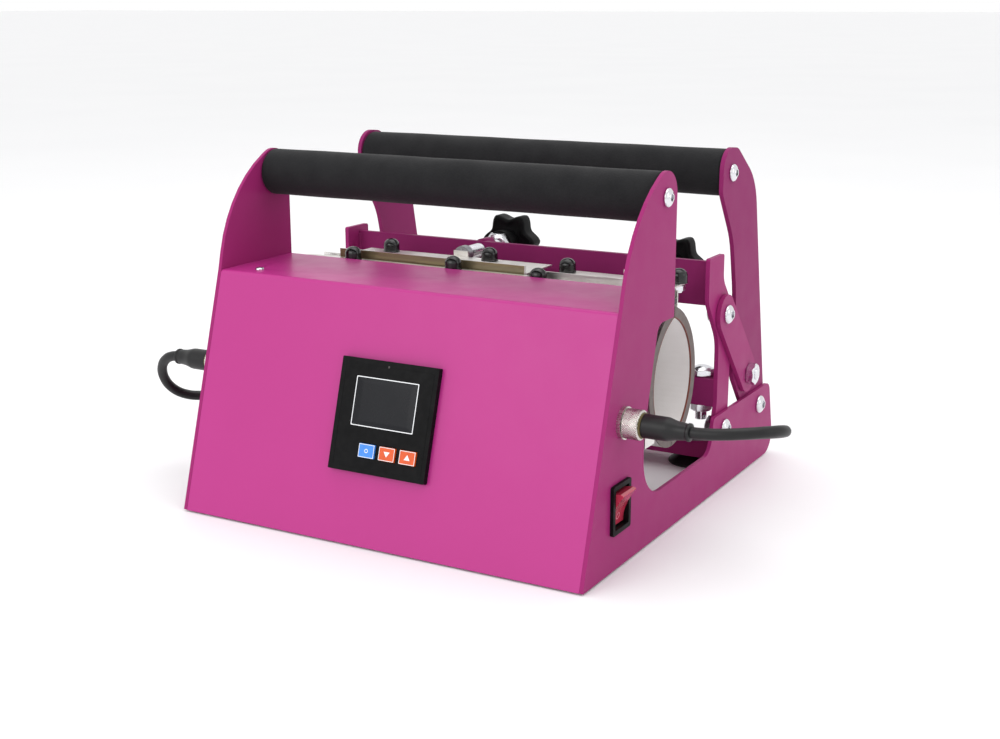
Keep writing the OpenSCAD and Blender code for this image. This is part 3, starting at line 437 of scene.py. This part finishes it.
def button_head(start, axis, radius, height, flip=1.0, socket=5.0, neck=0.0, neck_r=0.0):
    """A domed round head: most of a quarter ellipse, a flat ring, then a hexagon socket's straight wall.
    A shank of length neck and radius neck_r goes into the plate behind it."""
    t = np.linspace(0, math.pi / 2 * 0.82, 10)
    dome = np.stack([height * 0.22 + height * 0.78 * np.sin(t), radius * np.cos(t)], 1)
    rim = socket / math.sqrt(3) + 0.35
    dome = dome[dome[:, 1] > rim]
    profile = [(-neck, 0), (-neck, neck_r), (0, neck_r)] if neck else [(0, 0)]
    profile += [(0, radius * 0.97), (height * 0.08, radius)] + dome.tolist() + [(height, rim)]
    wall = len(profile)
    profile += [(height - 0.25, 20), (height - 2.4, 20), (height - 2.7, 0)]
    return turned(start, axis, profile, 60, flip, socket, wall)


def pin(start, axis, length, radius, sides=32, flip=1.0, near=0.0, far=0.0, end_r=None):
    """A closed cylinder. near and far round its edges, and end_r is the far end's radius."""
    corners = [(0, 0, 0), (0, radius, near), (length, end_r or radius, far), (length, 0, 0)]
    return turned(start, axis, eased(corners), sides, flip)


def pad(centre, width, height, thick, crown=0.0, power=6.0, place=on_panel, rows=None):
    """A flat block with a superellipse outline: x = w/2 |cos|^(2/p), up = h/2 |sin|^(2/p), and rounded edges.
    It stands out of its place by thick, and the middle by crown more."""
    angle = np.arange(64) * 2 * np.pi / 64
    c, s = np.cos(angle), np.sin(angle)
    x = width / 2 * np.sign(c) * np.abs(c) ** (2 / power)
    up = height / 2 * np.sign(s) * np.abs(s) ** (2 / power)
    ease = min(thick, 0.5) * 0.8
    rows = rows or [(0.0, 0.0), (1.0, 0.0), (1.0, thick - ease),
                    (1 - 0.6 * ease / width, thick - 0.3 * ease), (1 - 2 * ease / width, thick),
                    (0.75, thick + crown * 0.44), (0.5, thick + crown * 0.75),
                    (0.25, thick + crown * 0.94), (0.0, thick + crown)]
    share, out = np.array(rows, float).T
    return skin(place(centre[0] + share[:, None] * x, centre[1] + share[:, None] * up,
                      centre[2] + out[:, None] + 0 * x))


def frame_line(centre, width, height, line, thick, place=on_panel, power=14.0):
    """A raised line along a superellipse: a square cross-section carried round the outline."""
    angle = np.arange(96) * 2 * np.pi / 96
    c, s = np.cos(angle), np.sin(angle)
    inset = np.array([0, 0, line, line])[:, None]
    x = (width / 2 - inset) * np.sign(c) * np.abs(c) ** (2 / power)
    up = (height / 2 - inset) * np.sign(s) * np.abs(s) ** (2 / power)
    out = np.array([0, thick, thick, 0])[:, None] + 0 * x
    return skin(place(centre[0] + x, centre[1] + up, centre[2] + out), close_n=True)


def block(low, high):
    """A plain closed block between two corners in millimetres, as a grid of four rings round X."""
    (x0, y0, z0), (x1, y1, z1) = low, high
    y = np.array([[(y0 + y1) / 2] * 4, [y0, y1, y1, y0], [y0, y1, y1, y0], [(y0 + y1) / 2] * 4])
    z = np.array([[(z0 + z1) / 2] * 4, [z0, z0, z1, z1], [z0, z0, z1, z1], [(z0 + z1) / 2] * 4])
    x = np.array([[x0] * 4, [x0] * 4, [x1] * 4, [x1] * 4])
    return skin(shop(x, y, z))


# ---- plugs on the leads ----

SOCKET = (HEATER[0] - 98.7, HEATER[1] - 2)
PLUG_END = 43.5


def plug_pieces(name, side):
    """A knurled coupling ring, a bare thread, and a smooth body that tapers to a small collar."""
    start = shop(side * HALF_WIDTH, *SOCKET)
    rows = np.linspace(3.6, 11.8, 22)
    ring = [(2.6, 8.1), (2.6, 8.8), (3.0, 9.15)] + [(a, 9.2) for a in rows]
    ring += [(12.3, 9.1), (12.6, 8.7), (12.9, 7.9)]

    def knurl(along, radius, angle):
        """Crossed helical grooves: the depth is the product of two skewed waves round the ring."""
        wave = np.sin(20 * angle + along * 1.9) * np.sin(20 * angle - along * 1.9)
        worked = (along > 3.3) & (along < 12.0)
        return radius - np.where(worked, 0.4 * (1 - np.abs(wave)) ** 2, 0.0)

    coupling = piece("coupling_ring_" + name, [turned(start, "x", ring, 240, side, shape=knurl)],
                     "nickel", "base", crease=60)
    crest = [(a, 7.75 - 0.3 * (i % 2)) for i, a in enumerate(np.linspace(12.9, 14.1, 5))]
    thread = piece("plug_thread_" + name, [turned(start, "x", [(12.7, 0)] + crest + [(14.1, 0)], 48, side)],
                   "brass", "base")
    body = eased([(7.1, 0, 0), (7.1, 7.0, 0.3), (14.2, 7.0, 0), (14.2, 7.3, 0.3), (29, 7.2, 1.5),
                  (34.5, 5.6, 2.5), (PLUG_END - 2.4, 5.0, 0.4), (PLUG_END - 2, 5.5, 0.3),
                  (PLUG_END - 0.3, 5.4, 0.5), (PLUG_END, 3.4, 0), (PLUG_END, 0, 0)], 5)
    shell = piece("plug_body_" + name, [turned(start, "x", body, 72, side)],
                  "plug_black", "base", ["plug_" + name], crease=40)
    return [coupling, thread, shell]


for name, side in (("right", 1), ("left", -1)):
    lead, line, length = leads[name]
    lead.data.materials.append(finishes["lead_rubber"])
    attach(lead, "base")
    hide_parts("lead_" + name)
    plug_pieces(name, side)


# ---- carried-over nodes: finishes, and eased edges on the folded sheets ----

for name, node in nodes.items():
    node.data.materials.clear()
    node.data.materials.append(finishes[slot_of[name]])


def ease_edges(names, width):
    """Merges a node's loose triangles and rounds its sharp edges by width, in millimetres."""
    for name in names:
        weld = nodes[name].modifiers.new("weld", "WELD")
        weld.merge_threshold = 0.000005
        bevel = nodes[name].modifiers.new("edge", "BEVEL")
        bevel.width = width * MM
        bevel.segments = 2
        bevel.limit_method = "ANGLE"
        bevel.angle_limit = math.radians(50)
        bevel.use_clamp_overlap = True
        bevel.harden_normals = True


for name in ("screw_block_long", "screw_block_short"):
    nodes[name].data.materials.clear()
    nodes[name].data.materials.append(finishes["dull_zinc"])
ease_edges(["side_plate_left", "side_plate_right", "lever_left", "lever_right", "frame_plate_left",
            "frame_plate_right", "front_housing", "top_crossbar", "middle_crossbar",
            "rear_crossbar", "back_cover"], 0.35)
ease_edges(["controller_case", "rocker_housing", "power_inlet"], 0.4)


# ---- foam grips ----

def foam_grip(name, at, reach, node, body):
    """A sleeve: a closed ring profile turned about X, with soft end edges and slight hollows along it."""
    out, bore = 15.9, 11.05
    a = np.linspace(-reach + 2.2, reach - 2.2, 90)
    outer = np.stack([a, np.full_like(a, out)], 1)
    t = np.linspace(0, math.pi / 2, 6)[1:]
    round_end = np.stack([reach - 2.2 + 2.2 * np.sin(t), out - 2.2 + 2.2 * np.cos(t)], 1)
    start = np.stack([-round_end[::-1, 0], round_end[::-1, 1]], 1)
    profile = np.concatenate([[(-reach, bore)], start, outer, round_end, [(reach, bore)]])

    def uneven(along, radius, angle):
        """Low waves along and round, never above the foam's own size."""
        wave = np.sin(along / 23.0 + 2 * np.sin(angle)) + np.sin(along / 9.7 + angle * 2) + 2
        return np.where(radius > bore + 1, radius - 0.06 * wave, radius)

    spots, _ = turned(shop(0, *at), "x", profile, 72, shape=uneven)
    grid = spots.reshape(len(profile), 72, 3)
    made = piece(name, [skin(grid, close_n=True)], "grip_foam", body, [node], crease=60)
    return made


foam_grip("front_grip", FRONT_GRIP, INSIDE_WIDTH - 0.1, "front_handle_foam", "base")
foam_grip("rear_grip", REAR_GRIP, ARM_IN - 0.1, "rear_handle_foam", "lever")


# ---- star knobs ----

KNOB_R, KNOB_T, BOSS_H, BOSS_R = 22.0, 14.0, 12.0, 10.0
KNOBS = {"long": (-38.0, 156.0), "short": (96.0, 149.5)}
KNOB_START = BAR_FRONT + 30


def star_knob(name):
    """Six lobes: the radius is R less 5.2 ((1 - cos 6a) / 2)^0.8, pulled in at both faces by a quarter
    circle. Each row is (along, share of the outline, how far the outline is pulled in)."""
    x, z = KNOBS[name]
    angle = np.arange(144) * 2 * np.pi / 144
    lobes = KNOB_R - 5.2 * ((1 - np.cos(6 * angle)) / 2) ** 0.8
    t = np.linspace(0, math.pi / 2, 6)
    ease = 2.6
    edge_in = ease * (1 - np.sin(t))
    edge_along = ease * (1 - np.cos(t))
    rows = [(BOSS_H, 0.0, 8.0)]
    rows += [(BOSS_H + 0.8, 0.55, 4.0), (BOSS_H + 0.3, 0.9, ease)]
    rows += [(BOSS_H + a, 1.0, d) for a, d in zip(edge_along, edge_in)]
    rows += [(BOSS_H + KNOB_T - a, 1.0, d) for a, d in zip(edge_along[::-1], edge_in[::-1])]
    face = BOSS_H + KNOB_T
    rows += [(face - 0.2, 0.9, ease), (face - 1.2, 0.55, 2.0), (face - 1.4, 0.0, 8.6)]
    along, share, less = (column[:, None] for column in np.array(rows).T)
    inner = np.where(share > 0, 8.0, less)
    radius = np.where(share > 0.95, lobes - less, share * (lobes - less) + (1 - share) * inner)
    ring = np.stack([np.cos(angle), 0 * angle, np.sin(angle)], -1)
    star = shop(x, KNOB_START, z) + MM * (along[..., None] * np.array([0, 1, 0]) + radius[..., None] * ring)
    plug_row = shop(x, KNOB_START + BOSS_H, z) + 0 * star[:1]
    last = shop(x, KNOB_START + face - 1.4, z) + 0 * star[:1]
    star = np.concatenate([plug_row, star, last])
    boss = pin(shop(x, KNOB_START, z), "y", BOSS_H + 0.6, BOSS_R, 48, near=0.8, end_r=BOSS_R - 0.6)
    hub = turned(shop(x, KNOB_START + face - 2, z), "y",
                 eased([(0, 0, 0), (0, 8.4, 0), (3.5, 8.0, 1.0), (3.3, 4.0, 0.3), (3.2, 0, 0)]), 48)
    return piece("star_knob_" + name + "_moulding", [skin(star), boss, hub], "black_plastic",
                 "knob_" + name, ["star_knob_" + name], crease=42)


def knob_screw(name):
    """A threaded bar, whose radius runs up and down once a turn of thread, with a jam nut by the knob."""
    x, z = KNOBS[name]
    start, stop = 187.5, KNOB_START
    along = np.arange(start, stop, 0.375)
    wave = np.abs(((along / 1.5) % 1) - 0.5) * 2
    crests = np.stack([along - start, 4.98 - 0.75 * wave], 1)
    profile = np.concatenate([[(0, 0)], crests, [(stop - start, 0)]])
    tip = pin(shop(x, 183.0, z), "y", 4.6, 4.0, near=0.5)
    bar = turned(shop(x, start, z), "y", profile, 32)
    nut = hex_nut(shop(x, KNOB_START - 6, z), "y", 17, 6)
    return piece("pressure_screw_" + name, [tip, bar, nut], "chrome", "knob_" + name,
                 ["knob_screw_" + name], crease=32)


for name in KNOBS:
    star_knob(name)
    knob_screw(name)


# ---- flange bolts with black caps ----

LONG_BOLTS, REAR_LONG_BOLTS, SHORT_BOLTS = (-97.5, -15.0), (-93.5, -11.0), (50.5, 132.5)
FRONT_ROW, REAR_ROW = HEATER[0] - 19, HEATER[0] + 24
RAIL = 147.0
CAP_R, CAP_H = 6.0, 9.7


def black_cap(x, y, z):
    """A push-on cap: a short straight wall, then a quarter ellipse, with a thin rolled edge at its foot."""
    t = np.linspace(0, math.pi / 2, 9)
    dome = np.stack([CAP_H * 0.5 + CAP_H * 0.5 * np.sin(t), (CAP_R - 0.25) * np.cos(t)], 1)
    profile = [(0, 0), (0, CAP_R - 0.2), (0.25, CAP_R), (0.8, CAP_R), (1.1, CAP_R - 0.25)] + dome.tolist()
    return turned(shop(x, y, z), "z", profile, 36)


def flange_bolts():
    """Caps, studs and nuts on each flange, and spacers down to the rail under the front ones."""
    low_flange = FLANGE - SHORT_DROP
    spots = {"front_long": (LONG_BOLTS, FRONT_ROW, FLANGE, "base", "front_cap_bolts"),
             "front_short": (SHORT_BOLTS, FRONT_ROW, low_flange, "base", "front_cap_bolts"),
             "rear_long": (REAR_LONG_BOLTS, REAR_ROW, FLANGE, "pusher_long", "rear_cap_bolts_long"),
             "rear_short": (SHORT_BOLTS, REAR_ROW, low_flange, "pusher_short", "rear_cap_bolts_short")}
    for name, (row, y, z, body, node) in spots.items():
        piece("caps_" + name, [black_cap(x, y, z) for x in row], "cap_black", body, [node])
        front = name.startswith("front")
        low = RAIL if front else z - 1.2
        shanks = [pin(shop(x, y, low - 5.2), "z", z - low + 5.2, 2.5, 24) for x in row]
        nuts = [hex_nut(shop(x, y, low - 0.02), "z", 8, 3.9, -1) for x in row]
        spacers = [pin(shop(x, y, RAIL + 3), "z", z - 1.2 - RAIL - 3, 5) for x in row] if front else []
        piece("studs_" + name, shanks + nuts + spacers, "chrome", body)


flange_bolts()


# ---- bright hardware ----

def hardware():
    """Button heads, hexagon nuts and shanks at the grips, pivots, link joints, stops and covers."""
    both = (-1, 1)
    piece("front_grip_screws", [button_head(shop(s * HALF_WIDTH, *FRONT_GRIP), "x", 6, 3.6, s, 4, 22, 2.85)
                                for s in both], "chrome", "base", ["front_handle_bolts"])
    piece("rear_grip_screws", [button_head(shop(s * ARM_OUT, *REAR_GRIP), "x", 6, 3.6, s, 4, 22, 2.85)
                               for s in both], "chrome", "lever", ["rear_handle_bolts"])
    pivots = []
    for s in both:
        for p in (LEVER_PIVOT, FRAME_PIVOT):
            pivots.append(button_head(shop(s * HALF_WIDTH, *p), "x", 6.6, 4.2, s, 5, 13.1, 4))
            pivots.append(hex_nut(shop(s * (ARM_IN - 0.3), *p), "x", 13, 6, -s))
            pivots.append(pin(shop(s * (ARM_IN - 6.3), *p), "x", 1, 4, flip=-s, far=0.3, end_r=3.6))
    piece("pivot_screws", pivots, "chrome", "base", ["base_pivot_bolts"])
    for name, s in (("left", -1), ("right", 1)):
        head = button_head(shop(s * LINK_OUT, *CLAMP_JOINT), "x", 6.6, 4.2, s, 5, 3, 4)
        nut = hex_nut(shop(s * LINK_OUT, *TOGGLE_JOINT), "x", 14, 6, s)
        shank = pin(shop(s * (ARM_IN - 4.3), *TOGGLE_JOINT), "x", LINK_OUT - ARM_IN + 11.1, 4, flip=s,
                    near=0.3, far=0.6)
        inner = hex_nut(shop(s * (ARM_IN - 0.3), *TOGGLE_JOINT), "x", 13, 4, -s)
        piece("link_screws_" + name, [head, nut, shank, inner], "chrome", "link_" + name[0],
              ["link_bolts_" + name])
    nuts = [hex_nut(shop(s * ARM_IN, *CLAMP_JOINT), "x", 13, 6, -s) for s in both]
    ends = [pin(shop(s * (ARM_IN - 6), *CLAMP_JOINT), "x", 1.5, 4, flip=-s, far=0.3, end_r=3.6) for s in both]
    piece("clamp_nuts", nuts + ends, "chrome", "pressure_frame", ["frame_nuts"])
    bar_y, bar_low, bar_top = FRAME_PIVOT[0] + 1.75, 59.5, 79.0
    stops = []
    for x in (-132, 132):
        stops.append(hex_nut(shop(x, bar_y, bar_top), "z", 16, 5.0, dome=2.4))
        stops.append(pin(shop(x, bar_y, bar_low - 12), "z", bar_top - bar_low + 12, 4))
        stops.append(hex_nut(shop(x, bar_y, bar_low), "z", 13, 6, -1))
    piece("stop_screws", stops, "chrome", "pressure_frame", ["stop_bolts"])
    deck = (-125.0, DECK * math.tan(LEAN) + 13, DECK)
    under = [(x, y, 8.5) for x in (-120, 0, 120) for y in (13, 72)]
    screw = eased([(-6, 0, 0), (-6, 1.5, 0), (0, 1.5, 0), (0, 3, 0.3), (1.2, 2.6, 0.8), (1.9, 0, 0)])
    heads = [turned(shop(*deck), "z", screw, 32)] + [turned(shop(*u), "z", screw, 32, -1) for u in under]
    piece("small_screws", heads, "chrome", "base", ["cover_screws"])


hardware()


# ---- controller face ----

BEZEL_OUT = 4.0
WINDOW, WINDOW_W, WINDOW_H = (-0.1, BEZEL_SLOPE + 9), 46.4, 31.3
KEY_UP, KEY_MID, KEY_PITCH, KEY_W, KEY_H = 60.5, 7.2, 15.2, 11.8, 8.8


def controller_face():
    """The bezel's inner line, the window and its printed outline, the lamp, and three keys with marks."""
    piece("bezel_line", [frame_line((0, BEZEL_SLOPE, BEZEL_OUT - 0.05), 66, 65, 0.4, 0.15, power=60)],
          "black_plastic", "base")
    piece("window", [pad((*WINDOW, BEZEL_OUT - 0.3), WINDOW_W - 0.1, WINDOW_H - 0.1, 0.32, power=60)],
          "screen", "base", ["controller_screen"])
    prints = [frame_line((*WINDOW, BEZEL_OUT + 0.01), WINDOW_W, WINDOW_H, 0.55, 0.06, power=80)]
    piece("window_print", prints, "print", "base")
    piece("lamp", [pad((-0.6, 114.4, BEZEL_OUT - 0.1), 1.6, 1.6, 0.2, 0.1, 2.0)], "lamp", "base")
    for i, name in enumerate(("set", "down", "up")):
        finish = "key_blue" if name == "set" else "key_orange"
        x = KEY_MID + (i - 1) * KEY_PITCH
        top = BEZEL_OUT + 1.3
        rows = [(0.0, -3.1), (1.0, -3.1), (1.0, -0.5), (0.985, -0.15), (0.95, 0.0), (0.7, 0.0), (0.4, 0.0),
                (0.0, 0.0)]
        key = pad((x, KEY_UP, top), KEY_W, KEY_H, 0, power=40, rows=rows)
        piece("key_" + name + "_cap", [key], finish, "key_" + name, ["button_" + name])
        edge = frame_line((x, KEY_UP, top - 0.02), KEY_W - 0.4, KEY_H - 0.4, 0.35, 0.08, power=40)
        if name == "set":
            mark = frame_line((x, KEY_UP, top - 0.02), 2.6, 2.6, 0.4, 0.08, power=2)
        else:
            way = 1 if name == "up" else -1
            corners = np.array([(-2.2, -1.5 * way), (2.2, -1.5 * way), (0, 1.9 * way)])
            outline = np.stack([np.zeros((3, 2)), corners, corners, np.zeros((3, 2))])
            depth = np.array([-0.02, -0.02, 0.08, 0.08])[:, None] + np.zeros(3)
            mark = skin(on_panel(x + outline[..., 0], KEY_UP + outline[..., 1], top + depth))
        piece("key_" + name + "_print", [edge, mark], "print", "key_" + name)


controller_face()


# ---- rocker ----

ROCKER_AT, ROCKER_FACE, ROCKER_HALF = (HEATER[0] - 102, 39.0), 150.2, 9.1
SWEEP_LOW, SWEEP_RISE = -11.4, 21.0


def hollow(t):
    """How far the rocker's front stands out at share t of its rise: 8.4 t^1.9, less 1.6."""
    return -1.6 + 8.4 * t ** 1.9


def on_front(across, up, out):
    """A point out from the rocker's hollow front."""
    share = np.clip((np.asarray(up, float) - ROCKER_AT[1] - SWEEP_LOW) / SWEEP_RISE, 0, 1)
    return shop(ROCKER_FACE + hollow(share) + np.asarray(out, float), across, up)


def rocker_face():
    """The rocker's outline carried along Y, and a ring printed low on its hollow front."""
    t = np.linspace(0, 1, 28)
    front = np.stack([hollow(t), SWEEP_LOW + SWEEP_RISE * t], 1)
    outline = np.concatenate([[(-6, -8.8)], front, [(6.1, 10.3), (4.9, 10.9), (-4, 9.8)]])
    middle = np.repeat([(-3.0, 0.0)], len(outline), 0)
    rows = np.stack([middle, outline, outline, middle])
    across = ROCKER_AT[0] + ROCKER_HALF * np.array([-1, -1, 1, 1])[:, None]
    piece("rocker_moulding", [skin(shop(ROCKER_FACE + rows[..., 0], across, ROCKER_AT[1] + rows[..., 1]))],
          "rocker_red", "rocker_switch", ["rocker"], crease=25)
    ring = frame_line((ROCKER_AT[0], ROCKER_AT[1] - 6, 0), 4.4, 4.4, 0.45, 0.1, place=on_front, power=2)
    piece("rocker_marks", [ring], "faint_print", "rocker_switch")


rocker_face()


# ---- heater: inner edges, end rings and the tinted lip ----

BORE_W, BORE_H = 31.0, 42.0
MAIN_R = (BORE_W ** 2 + BORE_H ** 2) / (2 * BORE_W)
MAIN_IN = MAIN_R - BORE_W
LOW_A = math.radians(40)
LOW_R = MAIN_R - MAIN_IN / math.cos(LOW_A)
LOW_Z = -MAIN_IN * math.tan(LOW_A)
SPLIT = 0.4
LONG_X, SHORT_X = (-140.0, 40.0), (48.0, 140.0)


def half_oval(off):
    """One half of the bore's outline: a low arc, then the main arc up to the split, both moved out by off."""
    low = np.linspace(-math.acos(SPLIT / (LOW_R + off)), -LOW_A, 14)
    main = np.linspace(-LOW_A + 0.05, math.acos((SPLIT + MAIN_IN) / (MAIN_R + off)), 40)
    y = np.concatenate([(LOW_R + off) * np.cos(low), -MAIN_IN + (MAIN_R + off) * np.cos(main)])
    z = np.concatenate([LOW_Z + (LOW_R + off) * np.sin(low), (MAIN_R + off) * np.sin(main)])
    return y, z


def oval_band(side, x0, x1, off0, off1):
    """A closed band between two offsets of the half oval, from x0 to x1; side is -1 for the front half."""
    y0, z0 = half_oval(off0)
    y1, z1 = half_oval(off1)
    y = np.stack([y0, y1, y1, y0], 1)
    z = np.stack([z0, z1, z1, z0], 1)
    x = np.array([x0, x0, x1, x1])[None, :] + 0 * y
    ends = [np.repeat(v.mean(1, keepdims=True), 4, 1) for v in (x, y, z)]
    x, y, z = (np.concatenate([e[:1], v, e[-1:]]) for e, v in zip(ends, (x, y, z)))
    return skin(shop(x, HEATER[0] + side * y, HEATER[1] + z))


def heater_trim():
    """A thin inner edge and a broad end ring at each end of each heater half, and the long flange's tint."""
    for half, side, body_of in (("front", -1, lambda n: "base"), ("rear", 1, lambda n: "pusher_" + n)):
        for name, (x0, x1) in (("long", LONG_X), ("short", SHORT_X)):
            band = [oval_band(side, a, b, -0.1, 0.45)
                    for a, b in ((x0 - 0.2, x0 + 0.9), (x1 - 0.9, x1 + 0.2))]
            piece("edge_tape_" + half + "_" + name, band, "edge_tape", body_of(name))
            rim = [oval_band(side, a, b, 0.4, 6.9) for a, b in ((x0 - 0.15, x0 + 0.3), (x1 - 0.3, x1 + 0.15))]
            piece("end_ring_" + half + "_" + name, rim, "heater_end", body_of(name))
    lip_front = HEATER[0] - 9
    tint = block((LONG_X[0] + 24.4, lip_front - 0.12, FLANGE - 1.0),
                 (LONG_X[1] - 5.4, lip_front + 0.1, FLANGE + 5.3))
    piece("lip_tint_long", [tint], "heat_tint", "pusher_long")


heater_trim()


# ---- weld beads where the crossbars meet the frame plates ----

def weld_bead(side, y, z0, z1):
    """A smooth painted bead: a round section that swells slightly along Z and closes at both ends."""
    z = np.linspace(z0, z1, 50)
    swell = 1.5 + 0.06 * np.sin((z - z0) * 2 * np.pi / 3.4)
    swell[[0, -1]] = 0.0
    angle = np.arange(16) * 2 * np.pi / 16
    x = side * (ARM_IN - 0.5) + swell[:, None] * np.cos(angle)
    x = np.clip(x, -ARM_OUT + 0.5, ARM_OUT - 0.5)
    return skin(shop(x, y + swell[:, None] * np.sin(angle), z[:, None] + 0 * x))


# the beads take the levers' darker pink, which is painted shade
piece("weld_beads", [weld_bead(s, BAR_FRONT + y, 133.5, 160.5) for s in (-1, 1) for y in (0.3, 3.9)],
      "pink_shade", "pressure_frame", crease=60)


# ---- floor and light ----

def floor_and_light():
    """A pale table, a white surround and three soft boxes."""
    spread = np.linspace(-40, 40, 5)
    x, y = np.meshgrid(spread, spread, indexing="ij")
    spots, quads = skin(np.stack([x, y, np.full_like(x, -0.0002)], -1), close_m=False)
    mesh = bpy.data.meshes.new("table")
    mesh.from_pydata(spots.tolist(), [], quads.tolist())
    table = bpy.data.objects.new("table", mesh)
    scene.collection.objects.link(table)
    pale = Finish("pale_table", tone(246, 246, 247), 0.6)
    pale.tint(pale.ranged(pale.noise(2, 2), 0.3, 0.7, 0.0, 0.3), tone(240, 240, 242))
    mesh.materials.append(pale.material)
    world = bpy.data.worlds.new("studio")
    scene.world = world
    world.use_nodes = True
    world.node_tree.nodes["Background"].inputs["Color"].default_value = (1.0, 1.0, 1.0, 1.0)
    world.node_tree.nodes["Background"].inputs["Strength"].default_value = 1.0
    for name, place, target, size, power in (
            ("front_box", (-0.35, -1.7, 0.9), (0, 0, 0.1), (1.4, 1.0), 9),
            ("top_box", (0.1, 0.2, 1.7), (0, 0, 0.1), (1.6, 1.2), 9),
            ("right_box", (1.9, 0.2, 0.7), (0, 0, 0.1), (0.9, 0.9), 2)):
        data = bpy.data.lights.new(name, "AREA")
        data.shape = "RECTANGLE"
        data.size, data.size_y = size
        data.energy = power
        lamp = bpy.data.objects.new(name, data)
        scene.collection.objects.link(lamp)
        lamp.location = place
        lamp.rotation_mode = "QUATERNION"
        lamp.rotation_quaternion = (Vector(target) - Vector(place)).to_track_quat("-Z", "Y")
    scene.view_settings.view_transform = "Standard"


floor_and_light()
